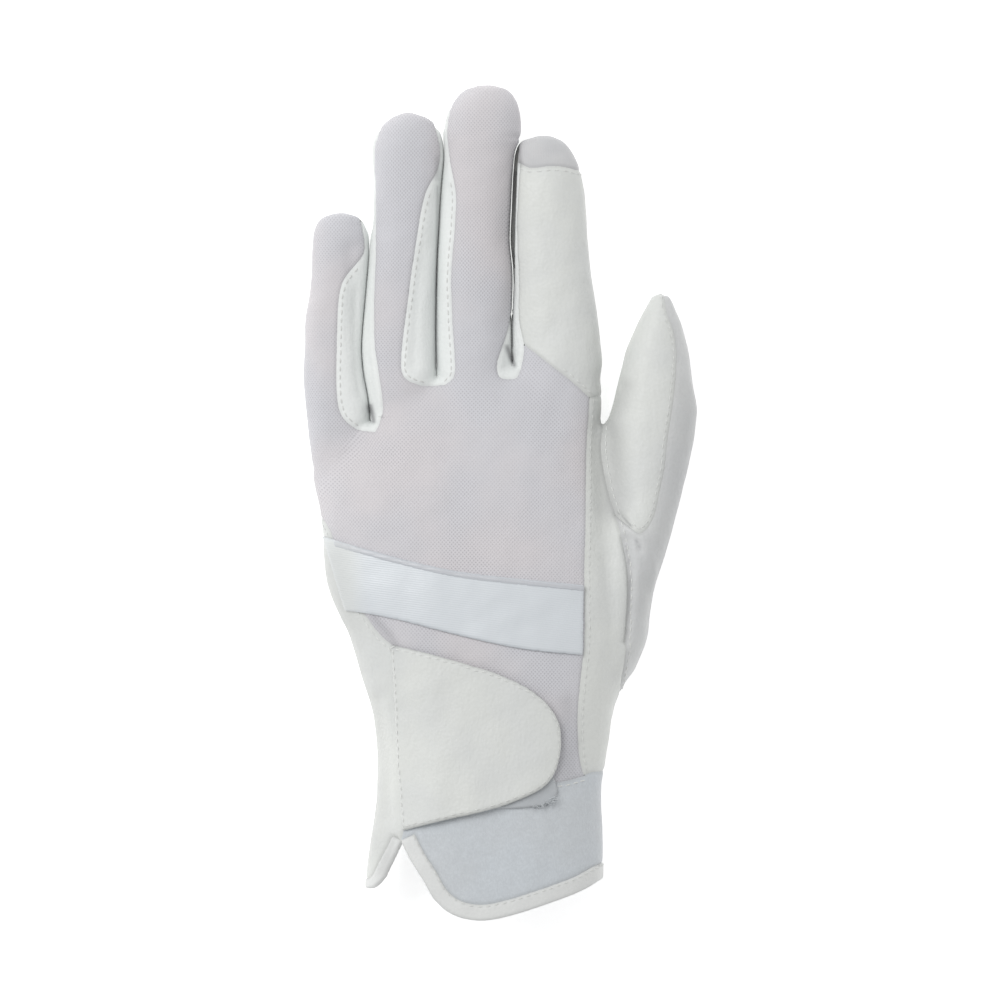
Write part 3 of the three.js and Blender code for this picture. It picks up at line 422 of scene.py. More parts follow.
def ring_membership(x, y, z, spread):
    """How much each finger, the thumb and the hand own a point, by how near their walls are."""
    apart = []
    for name in ORDER + ["thumb"]:
        finger = FINGERS[name]
        section = finger_section(finger, y)
        moved = x - spread_of(name, y) if spread and name != "thumb" else x
        value = ring_value(moved, z, section, FINGER_SQUARENESS)
        size = np.minimum(section[1] - section[0], section[2] - section[3]) / 2
        before = finger["root_y"] + finger["rows"][0][0] * finger["length"] - y
        apart.append(np.maximum((value - 1) * size, before))
    down = hand_down(x, y)
    section = hand_section(down)
    value = ring_value(x, z, section, HAND_SQUARENESS)
    size = (section[2] - section[3]) / 2
    apart.append(np.maximum((value - 1) * size, -down * HAND_LENGTH))
    return np.stack(apart)


def relax(points, faces, rounds, forth, back, share=1.0):
    """Evens a mesh out without shrinking it, each point by its share."""
    share = np.broadcast_to(share, len(points))
    faces = faces[(share > 0.01)[faces].any(1)]
    used, faces = np.unique(faces, return_inverse=True)
    faces = faces.reshape(-1, 4)
    a = faces.T.ravel()
    b = np.roll(faces, -1, axis=1).T.ravel()
    a, b = np.concatenate([a, b]), np.concatenate([b, a])
    count = np.maximum(np.bincount(a, minlength=len(used)), 1)
    own, part = points[used], share[used][:, None]
    for step in range(2 * rounds):
        mean = np.stack([np.bincount(a, own[b, i], len(used)) for i in range(3)], 1)
        mean /= count[:, None]
        own = own + (mean - own) * part * (back if step % 2 else forth)
    points = points.copy()
    points[used] = own
    return points


def slit_middle(number, y):
    """The middle at y between a finger and the next one, by its number in the order."""
    finger, neighbour = FINGERS[ORDER[number]], FINGERS[ORDER[number + 1]]
    return (finger_section(finger, y)[1] + finger_section(neighbour, y)[0]) / 2


def knuckle_share(p):
    """1 where the fingers' roots run into the back of the hand, and 0 by the slits and away."""
    x, y, z = p.T
    share = smoothstep(46 - y, 0, 14) * smoothstep(y, -24, -14) * smoothstep(z, 6, 10) * (x < 40)
    for number, name in enumerate(ORDER[:-1]):
        aside = smoothstep(np.abs(x - slit_middle(number, y)), 2.5, 6)
        below = smoothstep(FINGERS[name]["web"] - y, 0, 5)
        share = share * np.maximum(aside, below)
    return share


def vertex_normals(points, triangles):
    """The unit normal at each point, from the triangles around it."""
    a, b, c = (points[triangles[:, i]] for i in range(3))
    flat = np.cross(b - a, c - a)
    normals = np.zeros_like(points)
    for i in range(3):
        for k in range(3):
            normals[:, k] += np.bincount(triangles[:, i], flat[:, k], len(points))
    return normals / np.maximum(np.linalg.norm(normals, axis=1), 1e-12)[:, None]


points, quads = skin_surface()
points = relax(points, quads, 3, 0.5, -0.515)
near = ring_membership(*points.T, True)
weight = np.exp(-np.clip(near - near.min(0), 0, 30) / 0.5)
weight /= weight.sum(0)
points[:, 0] -= sum(w * spread_of(n, points[:, 1]) for w, n in zip(weight, ORDER))
owner = weight.argmax(0)
points = relax(points, quads, 70, 0.6, -0.52, knuckle_share(points))
# Gaps up to WIDEST_SLIT, and wider ones by the web, are closed by walls that swell over SWELLING,
# from a finger's middle at 0 to its side at 1.
WIDEST_SLIT, SWELLING = 2.4, (0.2, 0.92)
for number, name in enumerate(ORDER[:-1]):
    x, y = points[:, 0], points[:, 1]
    finger, neighbour = FINGERS[name], FINGERS[ORDER[number + 1]]
    middle = slit_middle(number, y)
    left, right, _, _ = finger_section(finger, y)
    its_left, its_right, _, _ = finger_section(neighbour, y)
    widest = WIDEST_SLIT + 3 * smoothstep(finger["web"] + 6 - y, 0, 3)
    close = smoothstep(widest - (its_left - right), 0, 1)
    close *= smoothstep(y - finger["web"], -1.5, 0.5)
    close *= smoothstep(finger["root_y"] + finger["length"] - y, 0, 12)
    above = y > finger["web"] - 1.5
    by_web = (owner == HAND) & (np.abs(x - middle) < 3)
    lower_side = by_web & (x < middle)
    mine = above & ((owner == number) | lower_side)
    its = above & ((owner == number + 1) | (by_web & ~lower_side))
    across = smoothstep(2 * (x - left) / (right - left) - 1, *SWELLING)
    points[mine, 0] += ((middle - right) * close * across)[mine]
    across = smoothstep(1 - 2 * (x - its_left) / (its_right - its_left), *SWELLING)
    points[its, 0] -= ((its_left - middle) * close * across)[its]
    points[mine, 0] = np.minimum(points[mine, 0], middle[mine] - SLIT / 2)
    points[its, 0] = np.maximum(points[its, 0], middle[its] + SLIT / 2)
triangles = np.concatenate([quads[:, [0, 1, 2]], quads[:, [0, 2, 3]]])
a, b, c = (points[triangles[:, i]] for i in range(3))
if (np.cross(b - a, c - a) * a).sum() < 0:
    triangles = triangles[:, ::-1]


def sweep(rows, per):
    """A smooth line through a table's points, as an evened Catmull-Rom curve."""
    p = np.array(rows, float)
    if not per:
        return p
    q = np.vstack([2 * p[0] - p[1], p, 2 * p[-1] - p[-2]])
    out = []
    for a, b, c, d in zip(q, q[1:], q[2:], q[3:]):
        for t in np.arange(per) / per:
            out.append((
                2 * b + (c - a) * t + (2 * a - 5 * b + 4 * c - d) * t * t
                + (3 * b - a - 3 * c + d) * t**3
            ) / 2)
    out = np.array(out + [p[-1]])
    for _ in range(5):
        out[1:-1] = out[1:-1] / 2 + (out[:-2] + out[2:]) / 4
    return out


def on_hand(rows, per=SEAM_STEPS):
    """Plan points on the hand from rows of side and down."""
    rows = sweep(rows, per)
    left, right, _, _ = hand_section(rows[:, 1])
    x = (left + right) / 2 + rows[:, 0] * (right - left) / 2
    return np.stack([x, KNUCKLE_Y - rows[:, 1] * HAND_LENGTH], 1)


def on_finger(name, rows, per=SEAM_STEPS):
    """Plan points on a finger from rows of along and across."""
    rows = sweep(rows, per)
    finger = FINGERS[name]
    x = finger["root_x"] + finger["lean"] * rows[:, 0] + rows[:, 1] * finger["width"] / 2
    return np.stack([x, finger["root_y"] + rows[:, 0] * finger["length"]], 1)


def spot(name, along, across):
    """One plan point on a finger."""
    return on_finger(name, [(along, across)], 0)


def past(name, across):
    """A plan point past a finger's tip."""
    return spot(name, 1.08, across)


def on_thumb_edge(rows, per=SEAM_STEPS):
    """Plan points on the hand from rows of side, and along as on the thumb."""
    root, length = FINGERS["thumb"]["root_depth"], FINGERS["thumb"]["length"]
    return on_hand([(side, (root - along * length) / HAND_LENGTH) for side, along in rows], per)


def in_gap(name, along):
    """A plan point in the middle of the gap on the left of a finger."""
    finger = FINGERS[name]
    y = finger["root_y"] + along * finger["length"]
    return [finger_section(finger, np.float64(y))[0] - FINGER_GAP / 2, y]


def joined(*lines):
    """Plan points and lines as one line."""
    return np.vstack([np.atleast_2d(line) for line in lines])


little_right, ring_left = on_finger("little", LITTLE_RIGHT), on_finger("ring", RING_LEFT)
ring_right, middle_left = on_finger("ring", RING_RIGHT), on_finger("middle", MIDDLE_LEFT)
middle_right, index_left = on_finger("middle", MIDDLE_RIGHT), on_finger("index", INDEX_LEFT)
index_cap, ridge = on_finger("index", INDEX_CAP), on_finger("thumb", THUMB_RIDGE)
index_stop = 6 * SEAM_STEPS + 1  # the strip runs on past the place where the index seam joins it
ulnar_seam, vent = on_hand(ULNAR_SEAM), on_hand(VENT, 2)
cuff_top, cuff_top_side = on_hand(CUFF_TOP), on_hand(CUFF_TOP_SIDE)
mesh_right, index_seam = on_hand(MESH_RIGHT), on_hand(INDEX_SEAM, 4)
thumb_seam, cleft = on_thumb_edge(THUMB_SEAM), on_thumb_edge(THUMB_CLEFT, 2)[::-1]
flap_edge, tail_edge = on_hand(FLAP_EDGE), on_hand(TAIL_EDGE)
beside_tip = joined(
    in_gap("index", 0.9), in_gap("index", 0.95), spot("index", 0.985, -0.7),
    spot("index", 1.06, -0.6),
)
back_region = joined(
    on_hand([(-1.3, 0.2)], 0), spot("little", 0, -1.8), past("little", -1.8),
    past("little", 0.4), little_right, ring_left[::-1], past("ring", -0.5), past("ring", 0.5),
    ring_right, middle_left[::-1], past("middle", -0.5), past("middle", 0.5), middle_right,
    index_left[index_stop - 1 :][::-1], index_seam[::-1], mesh_right[::-1], cuff_top[::-1],
    ulnar_seam[::-1],
)
radial_top = joined(index_seam[0], thumb_seam[0])
ridge_stop = RIDGE_JOINT * SEAM_STEPS
REGIONS = {
    "back_mesh": back_region,
    "side_strip_little_ring": joined(
        little_right, ring_left[::-1], spot("ring", 0.94, -1.4), spot("ring", 0.71, -1.4)
    ),
    "side_strip_ring_middle": joined(
        ring_right, middle_left[::-1], spot("middle", 0.95, -1.25), spot("middle", 0.92, -1.2)
    ),
    "side_strip_middle_index": joined(
        middle_right, index_left[::-1], beside_tip, spot("middle", 0.95, 1.3)
    ),
    "index_tip": joined(index_cap[::-1], beside_tip, spot("index", 1.08, 1.3)),
    "index_back": joined(index_cap, radial_top[::-1], index_seam, index_left[:index_stop][::-1]),
    "radial_panel": joined(mesh_right[::-1], cuff_top_side, thumb_seam[::-1], radial_top[::-1]),
    "thumb_back": joined(
        thumb_seam[: ridge_stop + 1], ridge[::-1], on_thumb_edge([(1.5, 1.84)], 0), cleft
    ),
    "ulnar_panel": joined(ulnar_seam, vent, tail_edge, on_hand([(-1.3, 0.6)], 0)),
    "cuff_flap": joined(flap_edge[::-1], vent[::-1], cuff_top, cuff_top_side),
}
thumb_region = joined(thumb_seam, on_thumb_edge([(2.2, -0.21), (2.2, 1.84)], 0), cleft)
thumb_side_region = joined(
    thumb_seam[ridge_stop:], on_thumb_edge([(2.2, -0.21), (2.2, 1.25)], 0), ridge
)
palm_end = KNUCKLE_Y - HAND_LENGTH + FLAP_OVERHANG


def line_distance(points, line):
    """How far plan points are from a plan line."""
    x, y = points[:, 0], points[:, 1]
    best = np.full(len(points), 1e9)
    for a, b in zip(line[:-1], line[1:]):
        d = b - a
        length = d @ d
        if length < 1e-9:
            continue
        t = np.clip(((x - a[0]) * d[0] + (y - a[1]) * d[1]) / length, 0, 1)
        best = np.minimum(best, (x - a[0] - t * d[0]) ** 2 + (y - a[1] - t * d[1]) ** 2)
    return np.sqrt(best)


def plan_distance(points, polygon):
    """How far plan points are from a polygon's edge, negative inside it."""
    inside = np.zeros(len(points), bool)
    x, y = points[:, 0], points[:, 1]
    polygon = np.vstack([polygon, polygon[:1]])
    for a, b in zip(polygon[:-1], polygon[1:]):
        if a[1] != b[1]:
            crosses = (a[1] > y) != (b[1] > y)
            inside ^= crosses & (x < (b[0] - a[0]) * (y - a[1]) / (b[1] - a[1]) + a[0])
    best = line_distance(points, polygon)
    return np.where(inside, -best, best)


SNAP = 0.09  # a corner this near to a cut is on it


def clip(points, faces, value):
    """Cuts triangles along the zero line of a value. Gives the points and both sides' triangles."""
    value = np.where(np.abs(value) < SNAP, 0, value)
    sign = np.sign(value).astype(int)[faces]
    inside = faces[sign.max(1) <= 0]
    outside = faces[(sign.min(1) >= 0) & (sign.max(1) > 0)]
    mixed = faces[(sign.min(1) < 0) & (sign.max(1) > 0)]
    s = np.sign(value).astype(int)[mixed]
    # Each mixed triangle is turned so that its lone corner, or the one on the line, comes first.
    lone = np.argmax(np.where((s == 0).any(1)[:, None], s == 0, s == -np.sign(s.sum(1))[:, None]), 1)
    order = (lone[:, None] + np.arange(3)) % 3
    m = np.take_along_axis(mixed, order, 1)
    s = np.take_along_axis(s, order, 1)
    touching = s[:, 0] == 0
    pairs, made = {}, []

    def middle_of(a, b):
        key = (a, b) if a < b else (b, a)
        if key not in pairs:
            pairs[key] = len(points) + len(made)
            t = value[key[0]] / (value[key[0]] - value[key[1]])
            made.append(points[key[0]] * (1 - t) + points[key[1]] * t)
        return pairs[key]

    new_in, new_out = [], []
    for (p, q, r), (sp, sq, sr), touch in zip(m.tolist(), s.tolist(), touching.tolist()):
        if touch:
            n = middle_of(q, r)
            (new_in if sq < 0 else new_out).append((p, q, n))
            (new_in if sr < 0 else new_out).append((p, n, r))
        else:
            a, b = middle_of(p, q), middle_of(p, r)
            (new_in if sp < 0 else new_out).append((p, a, b))
            other = new_in if sq < 0 else new_out
            other.append((a, q, r))
            other.append((a, r, b))
    if made:
        points = np.vstack([points, np.array(made)])
    if new_in:
        inside = np.vstack([inside, np.array(new_in, int)])
    if new_out:
        outside = np.vstack([outside, np.array(new_out, int)])
    return points, inside, outside


def biggest(faces, count):
    """The largest connected patch of some triangles, without crumbs at a seam's corner."""
    label = np.arange(count)
    while True:
        low = label[faces].min(1)
        new = label.copy()
        for i in range(3):
            np.minimum.at(new, faces[:, i], low)
        new = new[new]
        if (new == label).all():
            break
        label = new
    names, sizes = np.unique(label[faces[:, 0]], return_counts=True)
    return faces[label[faces[:, 0]] == names[sizes.argmax()]]


base_faces = triangles
points, low_faces, high_faces = clip(points, triangles, points[:, 2] - PALM_EDGE_Z)
patches = {}
for name, region in REGIONS.items():
    value = plan_distance(points, region)
    points, patches[name], high_faces = clip(points, high_faces, value)
value = plan_distance(points, thumb_side_region)
points, thumb_high, high_faces = clip(points, high_faces, value)
value = plan_distance(points, thumb_region)
points, thumb_low, low_faces = clip(points, low_faces, value)
value = palm_end - points[:, 1]
points, patches["palm"], low_faces = clip(points, low_faces, value)
patches["thumb_palm"] = np.vstack([thumb_high, thumb_low])
for name in patches:
    patches[name] = biggest(patches[name], len(points))


def beside(line, distance):
    """A plan line moved to its left by a distance."""
    along = np.gradient(line, axis=0)
    along /= np.linalg.norm(along, axis=1)[:, None]
    return line + distance * np.stack([-along[:, 1], along[:, 0]], 1)


# The bindings are cut from the flap, the tail and the palm, and the layers from the whole skin.
strap_top, strap_bottom = on_hand(STRAP_TOP), on_hand(STRAP_BOTTOM)
tab_top, tab_bottom = on_hand(TAB_TOP), on_hand(TAB_BOTTOM)
BINDINGS = {
    "cuff_binding": ("cuff_flap", joined(flap_edge, beside(flap_edge, BINDING_WIDTH)[::-1])),
    "tail_binding": (
        "ulnar_panel", joined(tail_edge, beside(tail_edge, -0.6 * BINDING_WIDTH)[::-1])
    ),
}
for name, (panel, region) in BINDINGS.items():
    value = plan_distance(points, region)
    points, patches[name], patches[panel] = clip(points, patches[panel], value)
    patches[name] = biggest(patches[name], len(points))
    patches[panel] = biggest(patches[panel], len(points))
value = palm_end + BINDING_WIDTH - points[:, 1]
points, patches["palm"], patches["palm_binding"] = clip(points, patches["palm"], value)
LAYER_REGIONS = {
    "knuckle_strap": joined(strap_top[::-1], strap_bottom),
    "strap_trim": joined(strap_top[5:][::-1], beside(strap_top, -TRIM_WIDTH)[5:]),
    "closure_tab": joined(tab_top, tab_bottom[::-1]),
    "loop_patch": on_hand(PATCH_OUTLINE, 0),
}

# Relief that all panels share: soft wrinkles and the creases that the photograph shows.
WRINKLE_HEIGHT = 0.16
random = np.random.default_rng(7)
WAVES = [
    (random.normal(size=3), random.uniform(0, 2 * np.pi), length)
    for length in (34, 27, 21, 17, 14, 12, 10, 8.5, 7.5, 6.5)
    for _ in range(3)
]


def wrinkle(p):
    """Uneven, gentle waves over the skin, about -1 to 1."""
    total = np.zeros(len(p))
    for direction, phase, length in WAVES:
        d = direction / np.linalg.norm(direction)
        total += (length / 20) ** 0.7 * np.sin(p @ d * 2 * np.pi / length + phase)
    return total / 5


def crease(p, line, width):
    """1 on a plan line, fading to 0 over a width on either side."""
    return np.exp(-((line_distance(p, np.array(line, float)) / width) ** 2))


def painted_shade_share(p):
    """How much painted shade darkens the skin at p: in creases and slits, and over hollows and sides
    turned from the light.
    """
    dark = np.zeros(len(p))
    for line, width, amount in PAINTED_SHADES:
        dark = np.maximum(dark, amount * crease(p, at_pixel(line), width))
    return dark * smoothstep(p[:, 2], 4, 7)


def at_pixel(rows):
    """Plan points from places in the photograph."""
    return [((x - PHOTO_MIDDLE) * PIXEL, (PHOTO_MIDDLE - y) * PIXEL) for x, y in rows]


# Columns: places along the fold, width, and depth, less than 0 for a ridge.
FOLDS = [
    ([(617, 513), (629, 524)], 0.9, 0.9),
    ([(624, 540), (629, 565), (631, 590), (630, 610), (626, 640)], 1.3, 1.3),
    ([(636, 540), (639, 549)], 0.8, 0.6),
    ([(629, 526), (642, 541), (651, 562), (653, 588)], 1.6, -0.7),
    ([(611, 440), (616, 470), (622, 500)], 4.0, 1.2),
    ([(606, 560), (610, 600), (612, 650), (606, 700)], 2.2, 0.5),
    ([(340, 640), (356, 700), (366, 750)], 2.5, 0.5),
    ([(378, 700), (386, 760), (388, 815)], 2.2, 0.6),
    ([(396, 836), (384, 872)], 1.2, 0.6),
    ([(352, 250), (358, 320), (364, 390)], 2.5, 0.8),
    ([(424, 250), (416, 310), (414, 365)], 1.8, 0.5),
    ([(449, 190), (452, 290), (450, 366)], 1.6, 0.4),
]


# Painted shade, in lines: creases, slits, hollows and sides turned from the light. Columns: places
# along the line, width, and how dark it is.
PAINTED_SHADES = [
    ([(616, 512), (630, 525)], 0.35, 0.55),
    ([(624, 542), (629, 565), (630.7, 588)], 0.32, 0.42),
    ([(630.7, 588), (630.5, 606)], 0.3, 0.34),
    ([(630.5, 606), (629.5, 620)], 0.3, 0.24), ([(629.5, 620), (628.5, 634)], 0.3, 0.12),
    ([(636, 541), (639, 548)], 0.3, 0.4),
    ([(507, 347), (510, 356), (514, 365)], 0.7, 0.75),
    ([(370, 406), (372, 414), (373, 421)], 0.7, 0.75),
    ([(374, 616), (390, 634), (397, 645)], 1.3, 0.28), ([(437, 158), (437, 178)], 0.8, 0.3),
    ([(519, 150), (520, 164)], 0.7, 0.4), ([(512, 170), (511, 250), (512, 346)], 0.35, 0.5),
    ([(437, 186), (436, 280), (437, 368)], 0.4, 0.35),
    ([(607, 428), (609, 466), (613, 508)], 4.4, 0.34),
    ([(626, 385), (612, 425), (610, 450)], 2.4, 0.2),
    ([(566, 700), (572, 740), (568, 770)], 2.6, 0.16),
    ([(690, 400), (676, 500), (650, 600)], 6.0, 0.12),
    ([(334, 560), (352, 660), (364, 720), (368, 780), (374, 850)], 5.0, 0.16),
]


def free_share(p):
    """0 on the walls where two fingers touch, and 1 away from them."""
    share = np.ones(len(p))
    for number, name in enumerate(ORDER[:-1]):
        finger = FINGERS[name]
        tip = finger["root_y"] + finger["length"]
        beyond = smoothstep(finger["web"] - p[:, 1], -2, 2)
        beyond = np.maximum(beyond, smoothstep(p[:, 1] - tip, -4, 0))
        aside = smoothstep(np.abs(p[:, 0] - slit_middle(number, p[:, 1])), 0.3, 2.2)
        share *= np.maximum(beyond, aside)
    return share


def relief(p, n):
    """How far the skin stands out of its smooth form."""
    upward = smoothstep(n[:, 2], -0.1, 0.5)
    out = WRINKLE_HEIGHT * wrinkle(p)
    for line, width, depth in FOLDS:
        out -= depth * crease(p, at_pixel(line), width) * upward
    below = smoothstep(-n[:, 2], 0.2, 0.7)
    for line in PALM_FOLDS:
        out -= PALM_FOLD_DEPTH * crease(p, line, PALM_FOLD_WIDTH) * below
    return out * free_share(p)


# The palm's creases, in plan, where the fingers and the thumb bend.
PALM_FOLD_WIDTH, PALM_FOLD_DEPTH = 2.6, 0.22
PALM_FOLDS = [
    [(-52, 6), (-30, 3), (-8, 10), (12, 22)],
    [(-50, -22), (-28, -18), (0, -6), (20, 8)],
    [(14, 18), (4, -10), (4, -40), (12, -62)],
    [(-26, -84), (0, -87), (22, -83)],
    [(-54, 52), (-40, 52)], [(-53, 34), (-39, 34)],
    [(-36, 88), (-20, 88)], [(-36, 62), (-19, 62)],
    [(-16, 92), (2, 92)], [(-17, 65), (2, 65)],
    [(5, 80), (24, 80)], [(5, 56), (26, 56)],
    [(34, 24), (48, 14)], [(31, 2), (44, -4)],
]


everything = np.vstack(list(patches.values()) + [high_faces, low_faces])
normals = vertex_normals(points, everything)
bare = points
outer = points + normals * relief(points, normals)[:, None]
outer[:, 2] = np.maximum(outer[:, 2], SKIN_GAP)
normals = vertex_normals(outer, everything)


def split(own, faces):
    """Each triangle cut into four."""
    pairs = np.sort(np.vstack([faces[:, [0, 1]], faces[:, [1, 2]], faces[:, [2, 0]]]), axis=1)
    unique, where = np.unique(pairs, axis=0, return_inverse=True)
    where = where.reshape(-1)
    made = (own[unique[:, 0]] + own[unique[:, 1]]) / 2
    n = len(faces)
    ab, bc, ca = (where[i * n : (i + 1) * n] + len(own) for i in range(3))
    a, b, c = faces.T
    parts = [(a, ab, ca), (ab, b, bc), (ca, bc, c), (ab, bc, ca)]
    return np.vstack([own, made]), np.vstack([np.stack(part, 1) for part in parts])


def boundary_of(faces):
    """The directed edges that only one triangle has, with the patch on their left."""
    edges = np.vstack([faces[:, [0, 1]], faces[:, [1, 2]], faces[:, [2, 0]]])
    keys = np.sort(edges, axis=1)
    _, first, count = np.unique(keys, axis=0, return_index=True, return_counts=True)
    return edges[first[count == 1]]


EDGE_REACH = 12.0


def edge_distance(own, rim):
    """How far each point is from the patch's edge, up to EDGE_REACH."""
    a, b = own[rim[:, 0]], own[rim[:, 1]]
    spots = np.vstack([a + (b - a) * t for t in (0, 0.2, 0.4, 0.6, 0.8)])
    tree = KDTree(len(spots))
    for i, co in enumerate(spots):
        tree.insert(co, i)
    tree.balance()
    return np.minimum([tree.find(co)[2] for co in own], EDGE_REACH)


def arc_length(x, z, section, squareness):
    """The way along a section's ring from the middle of its top, as the cloth runs."""
    left, right, top, base = section
    hx, hz = (right - left) / 2, (top - base) / 2
    u = np.clip((x - (left + right) / 2) / hx, -1.5, 1.5)
    v = np.clip((z - (top + base) / 2) / hz, -1.5, 1.5)
    power = squareness / 2
    angle = np.arctan2(np.abs(u) ** power, np.sign(v) * np.abs(v) ** power)
    total = np.zeros(len(x))
    steps = 24
    before = 0, hz
    for i in range(1, steps + 1):
        a = angle * i / steps
        now = (
            hx * np.abs(np.sin(a)) ** (1 / power),
            hz * np.sign(np.cos(a)) * np.abs(np.cos(a)) ** (1 / power),
        )
        total += np.hypot(now[0] - before[0], now[1] - before[1])
        before = now
    return np.sign(u) * total


# How widely the cloth's coordinates of two fingers, the thumb, and the fingers and hand mix.
FINGER_MIX, THUMB_MIX, ROOT_MIX = 2.5, 1.2, 30


def cloth_place(p):
    """Where a point is on the flat cloth: across and along, in millimetres."""
    x, y, z = p.T
    near = ring_membership(x, y, z, False)
    fingers = near[:4]
    weight = np.exp(-np.clip(fingers - fingers.min(0), 0, 60) / FINGER_MIX)
    weight /= weight.sum(0)
    others = np.minimum(fingers.min(0), near[5])
    on_thumb = 1 / (1 + np.exp(np.clip(near[4] - others, -30, 30) / THUMB_MIX))
    web_line = KNUCKLE_Y - WEB_DROP * (WEB_PEAK - 2 * (x - KNUCKLE_X) / knuckle_width) ** 2
    on_hand_share = smoothstep(web_line + 4 - y, 0, ROOT_MIX)
    shares = list(weight * (1 - on_hand_share) * (1 - on_thumb)) + [on_thumb]
    across = np.zeros(len(p))
    for name, w in zip(ORDER + ["thumb"], shares):
        section = finger_section(FINGERS[name], y)
        mid = (section[0] + section[1]) / 2
        across += w * (mid + arc_length(x, z, section, FINGER_SQUARENESS))
    section = hand_section(hand_down(x, y))
    mid = (section[0] + section[1]) / 2
    whole = on_hand_share * (1 - on_thumb)
    across += whole * (mid + arc_length(x, z, section, HAND_SQUARENESS))
    return np.stack([across, y], 1)


def shell(faces, high, low, finer=False):
    """A closed body over a patch of the skin, between two heights over it.

    high and low give the height from the distance to the patch's edge.
    """
    used, faces = np.unique(faces, return_inverse=True)
    faces = faces.reshape(-1, 3)
    own = np.hstack([outer[used], normals[used], bare[used]])
    if finer:
        own, faces = split(own, faces)
        own[:, 3:6] /= np.linalg.norm(own[:, 3:6], axis=1)[:, None]
    rim = boundary_of(faces)
    away = edge_distance(own[:, :3], rim)
    upper = own[:, :3] + own[:, 3:6] * high(away, own)[:, None]
    lower = own[:, :3] + own[:, 3:6] * low(away, own)[:, None]
    upper[:, 2] = np.maximum(upper[:, 2], SKIN_GAP)
    n = len(own)
    a, b = rim[:, 0], rim[:, 1]
    walls = np.vstack([np.stack([b, a, a + n], 1), np.stack([b, a + n, b + n], 1)])
    verts = np.vstack([upper, lower])
    return dict(
        verts=verts,
        faces=np.vstack([faces, faces[:, ::-1] + n, walls]),
        top=faces,
        rim=rim,
        flat=own[:, 6:8],
        seam=np.concatenate([away, away]),
        place=np.vstack([cloth_place(own[:, 6:9])] * 2),
        shade=np.tile(painted_shade_share(own[:, 6:9]), 2),
    )


ROLL_WIDTH, ROLL_DEPTH = 1.2, 0.32


def rolled(away, own):
    """A panel's face, which dips into its seam."""
    return -ROLL_DEPTH * (1 - np.clip(away / ROLL_WIDTH, 0, 1)) ** 2


def rounded(height, radius):
    """A height that falls off over a radius at the patch's edge."""

    def at(away, own):
        t = 1 - np.clip(away / radius, 0, 1)
        return height * (0.35 + 0.65 * np.sqrt(1 - t * t))

    return at


def wall_below(away, own):
    return rolled(away, own) - WALL


def tab_lift(away, own):
    """How high the tab lies: low at its root on the hand's edge, and over the patch beyond."""
    p = own[:, 6:9]
    left, right, _, _ = hand_section((KNUCKLE_Y - p[:, 1]) / HAND_LENGTH)
    side = 2 * (p[:, 0] - left) / (right - left) - 1
    return 0.3 + 1.1 * smoothstep(side, -0.72, -0.42)


def lying(start, height, radius, under):
    """The heights of a layer with a rounded edge, over where it starts and where it lies."""
    return (
        lambda away, own: start + rounded(height, radius)(away, own),
        lambda away, own: np.full(len(away), under),
    )


HEIGHTS = {
    "cuff_binding": (
        lambda away, own: -0.6 + rounded(0.85, 1.2)(away, own),
        lambda away, own: -0.6 - rounded(1.0, 1.1)(away, own),
    ),
    "knuckle_strap": lying(0.1, 0.95, 1.2, 0.1),
    "strap_trim": lying(0.6, 0.75, 0.8, 0.5),
    "closure_tab": (
        lambda away, own: tab_lift(away, own) + rounded(1.4, 1.3)(away, own), tab_lift
    ),
    "loop_patch": lying(0.0, 1.1, 0.6, 0.25),
}
HEIGHTS["tail_binding"] = HEIGHTS["palm_binding"] = HEIGHTS["cuff_binding"]

grown = np.hstack([points, outer, normals, bare])
grown, _, above = clip(grown, base_faces, points[:, 2] - PALM_EDGE_Z)
for name, region in LAYER_REGIONS.items():
    value = plan_distance(grown, region)
    grown, layer_faces, _ = clip(grown, above, value)
    points, outer = grown[:, :3], grown[:, 3:6]
    normals, bare = grown[:, 6:9], grown[:, 9:12]
    normals = normals / np.linalg.norm(normals, axis=1)[:, None]
    patches[name] = biggest(layer_faces, len(points))
    grown = np.hstack([points, outer, normals, bare])

shells = {}
for name, faces in patches.items():
    high, low = HEIGHTS.get(name, (rolled, wall_below))
    shells[name] = shell(faces, high, low, finer=name in HEIGHTS)

SLOTS = ("leather", "spacer_mesh", "stretch_fabric", "elastic", "loop_fabric", "binding")
LEATHER, KNIT, STRETCH, ELASTIC, LOOP, BINDING = SLOTS
SLOT_OF = {
    "back_mesh": KNIT, "index_tip": STRETCH, "knuckle_strap": ELASTIC, "strap_trim": ELASTIC,
    "cuff_flap": LOOP, "loop_patch": LOOP, "cuff_binding": BINDING, "tail_binding": BINDING,
    "palm_binding": BINDING,
}
# thumb_palm takes the darker thumb leather: painted shade on the side that turns from the light.
LOOK_OF = {"strap_trim": "trim", "loop_patch": "pile", "thumb_palm": "thumb"}


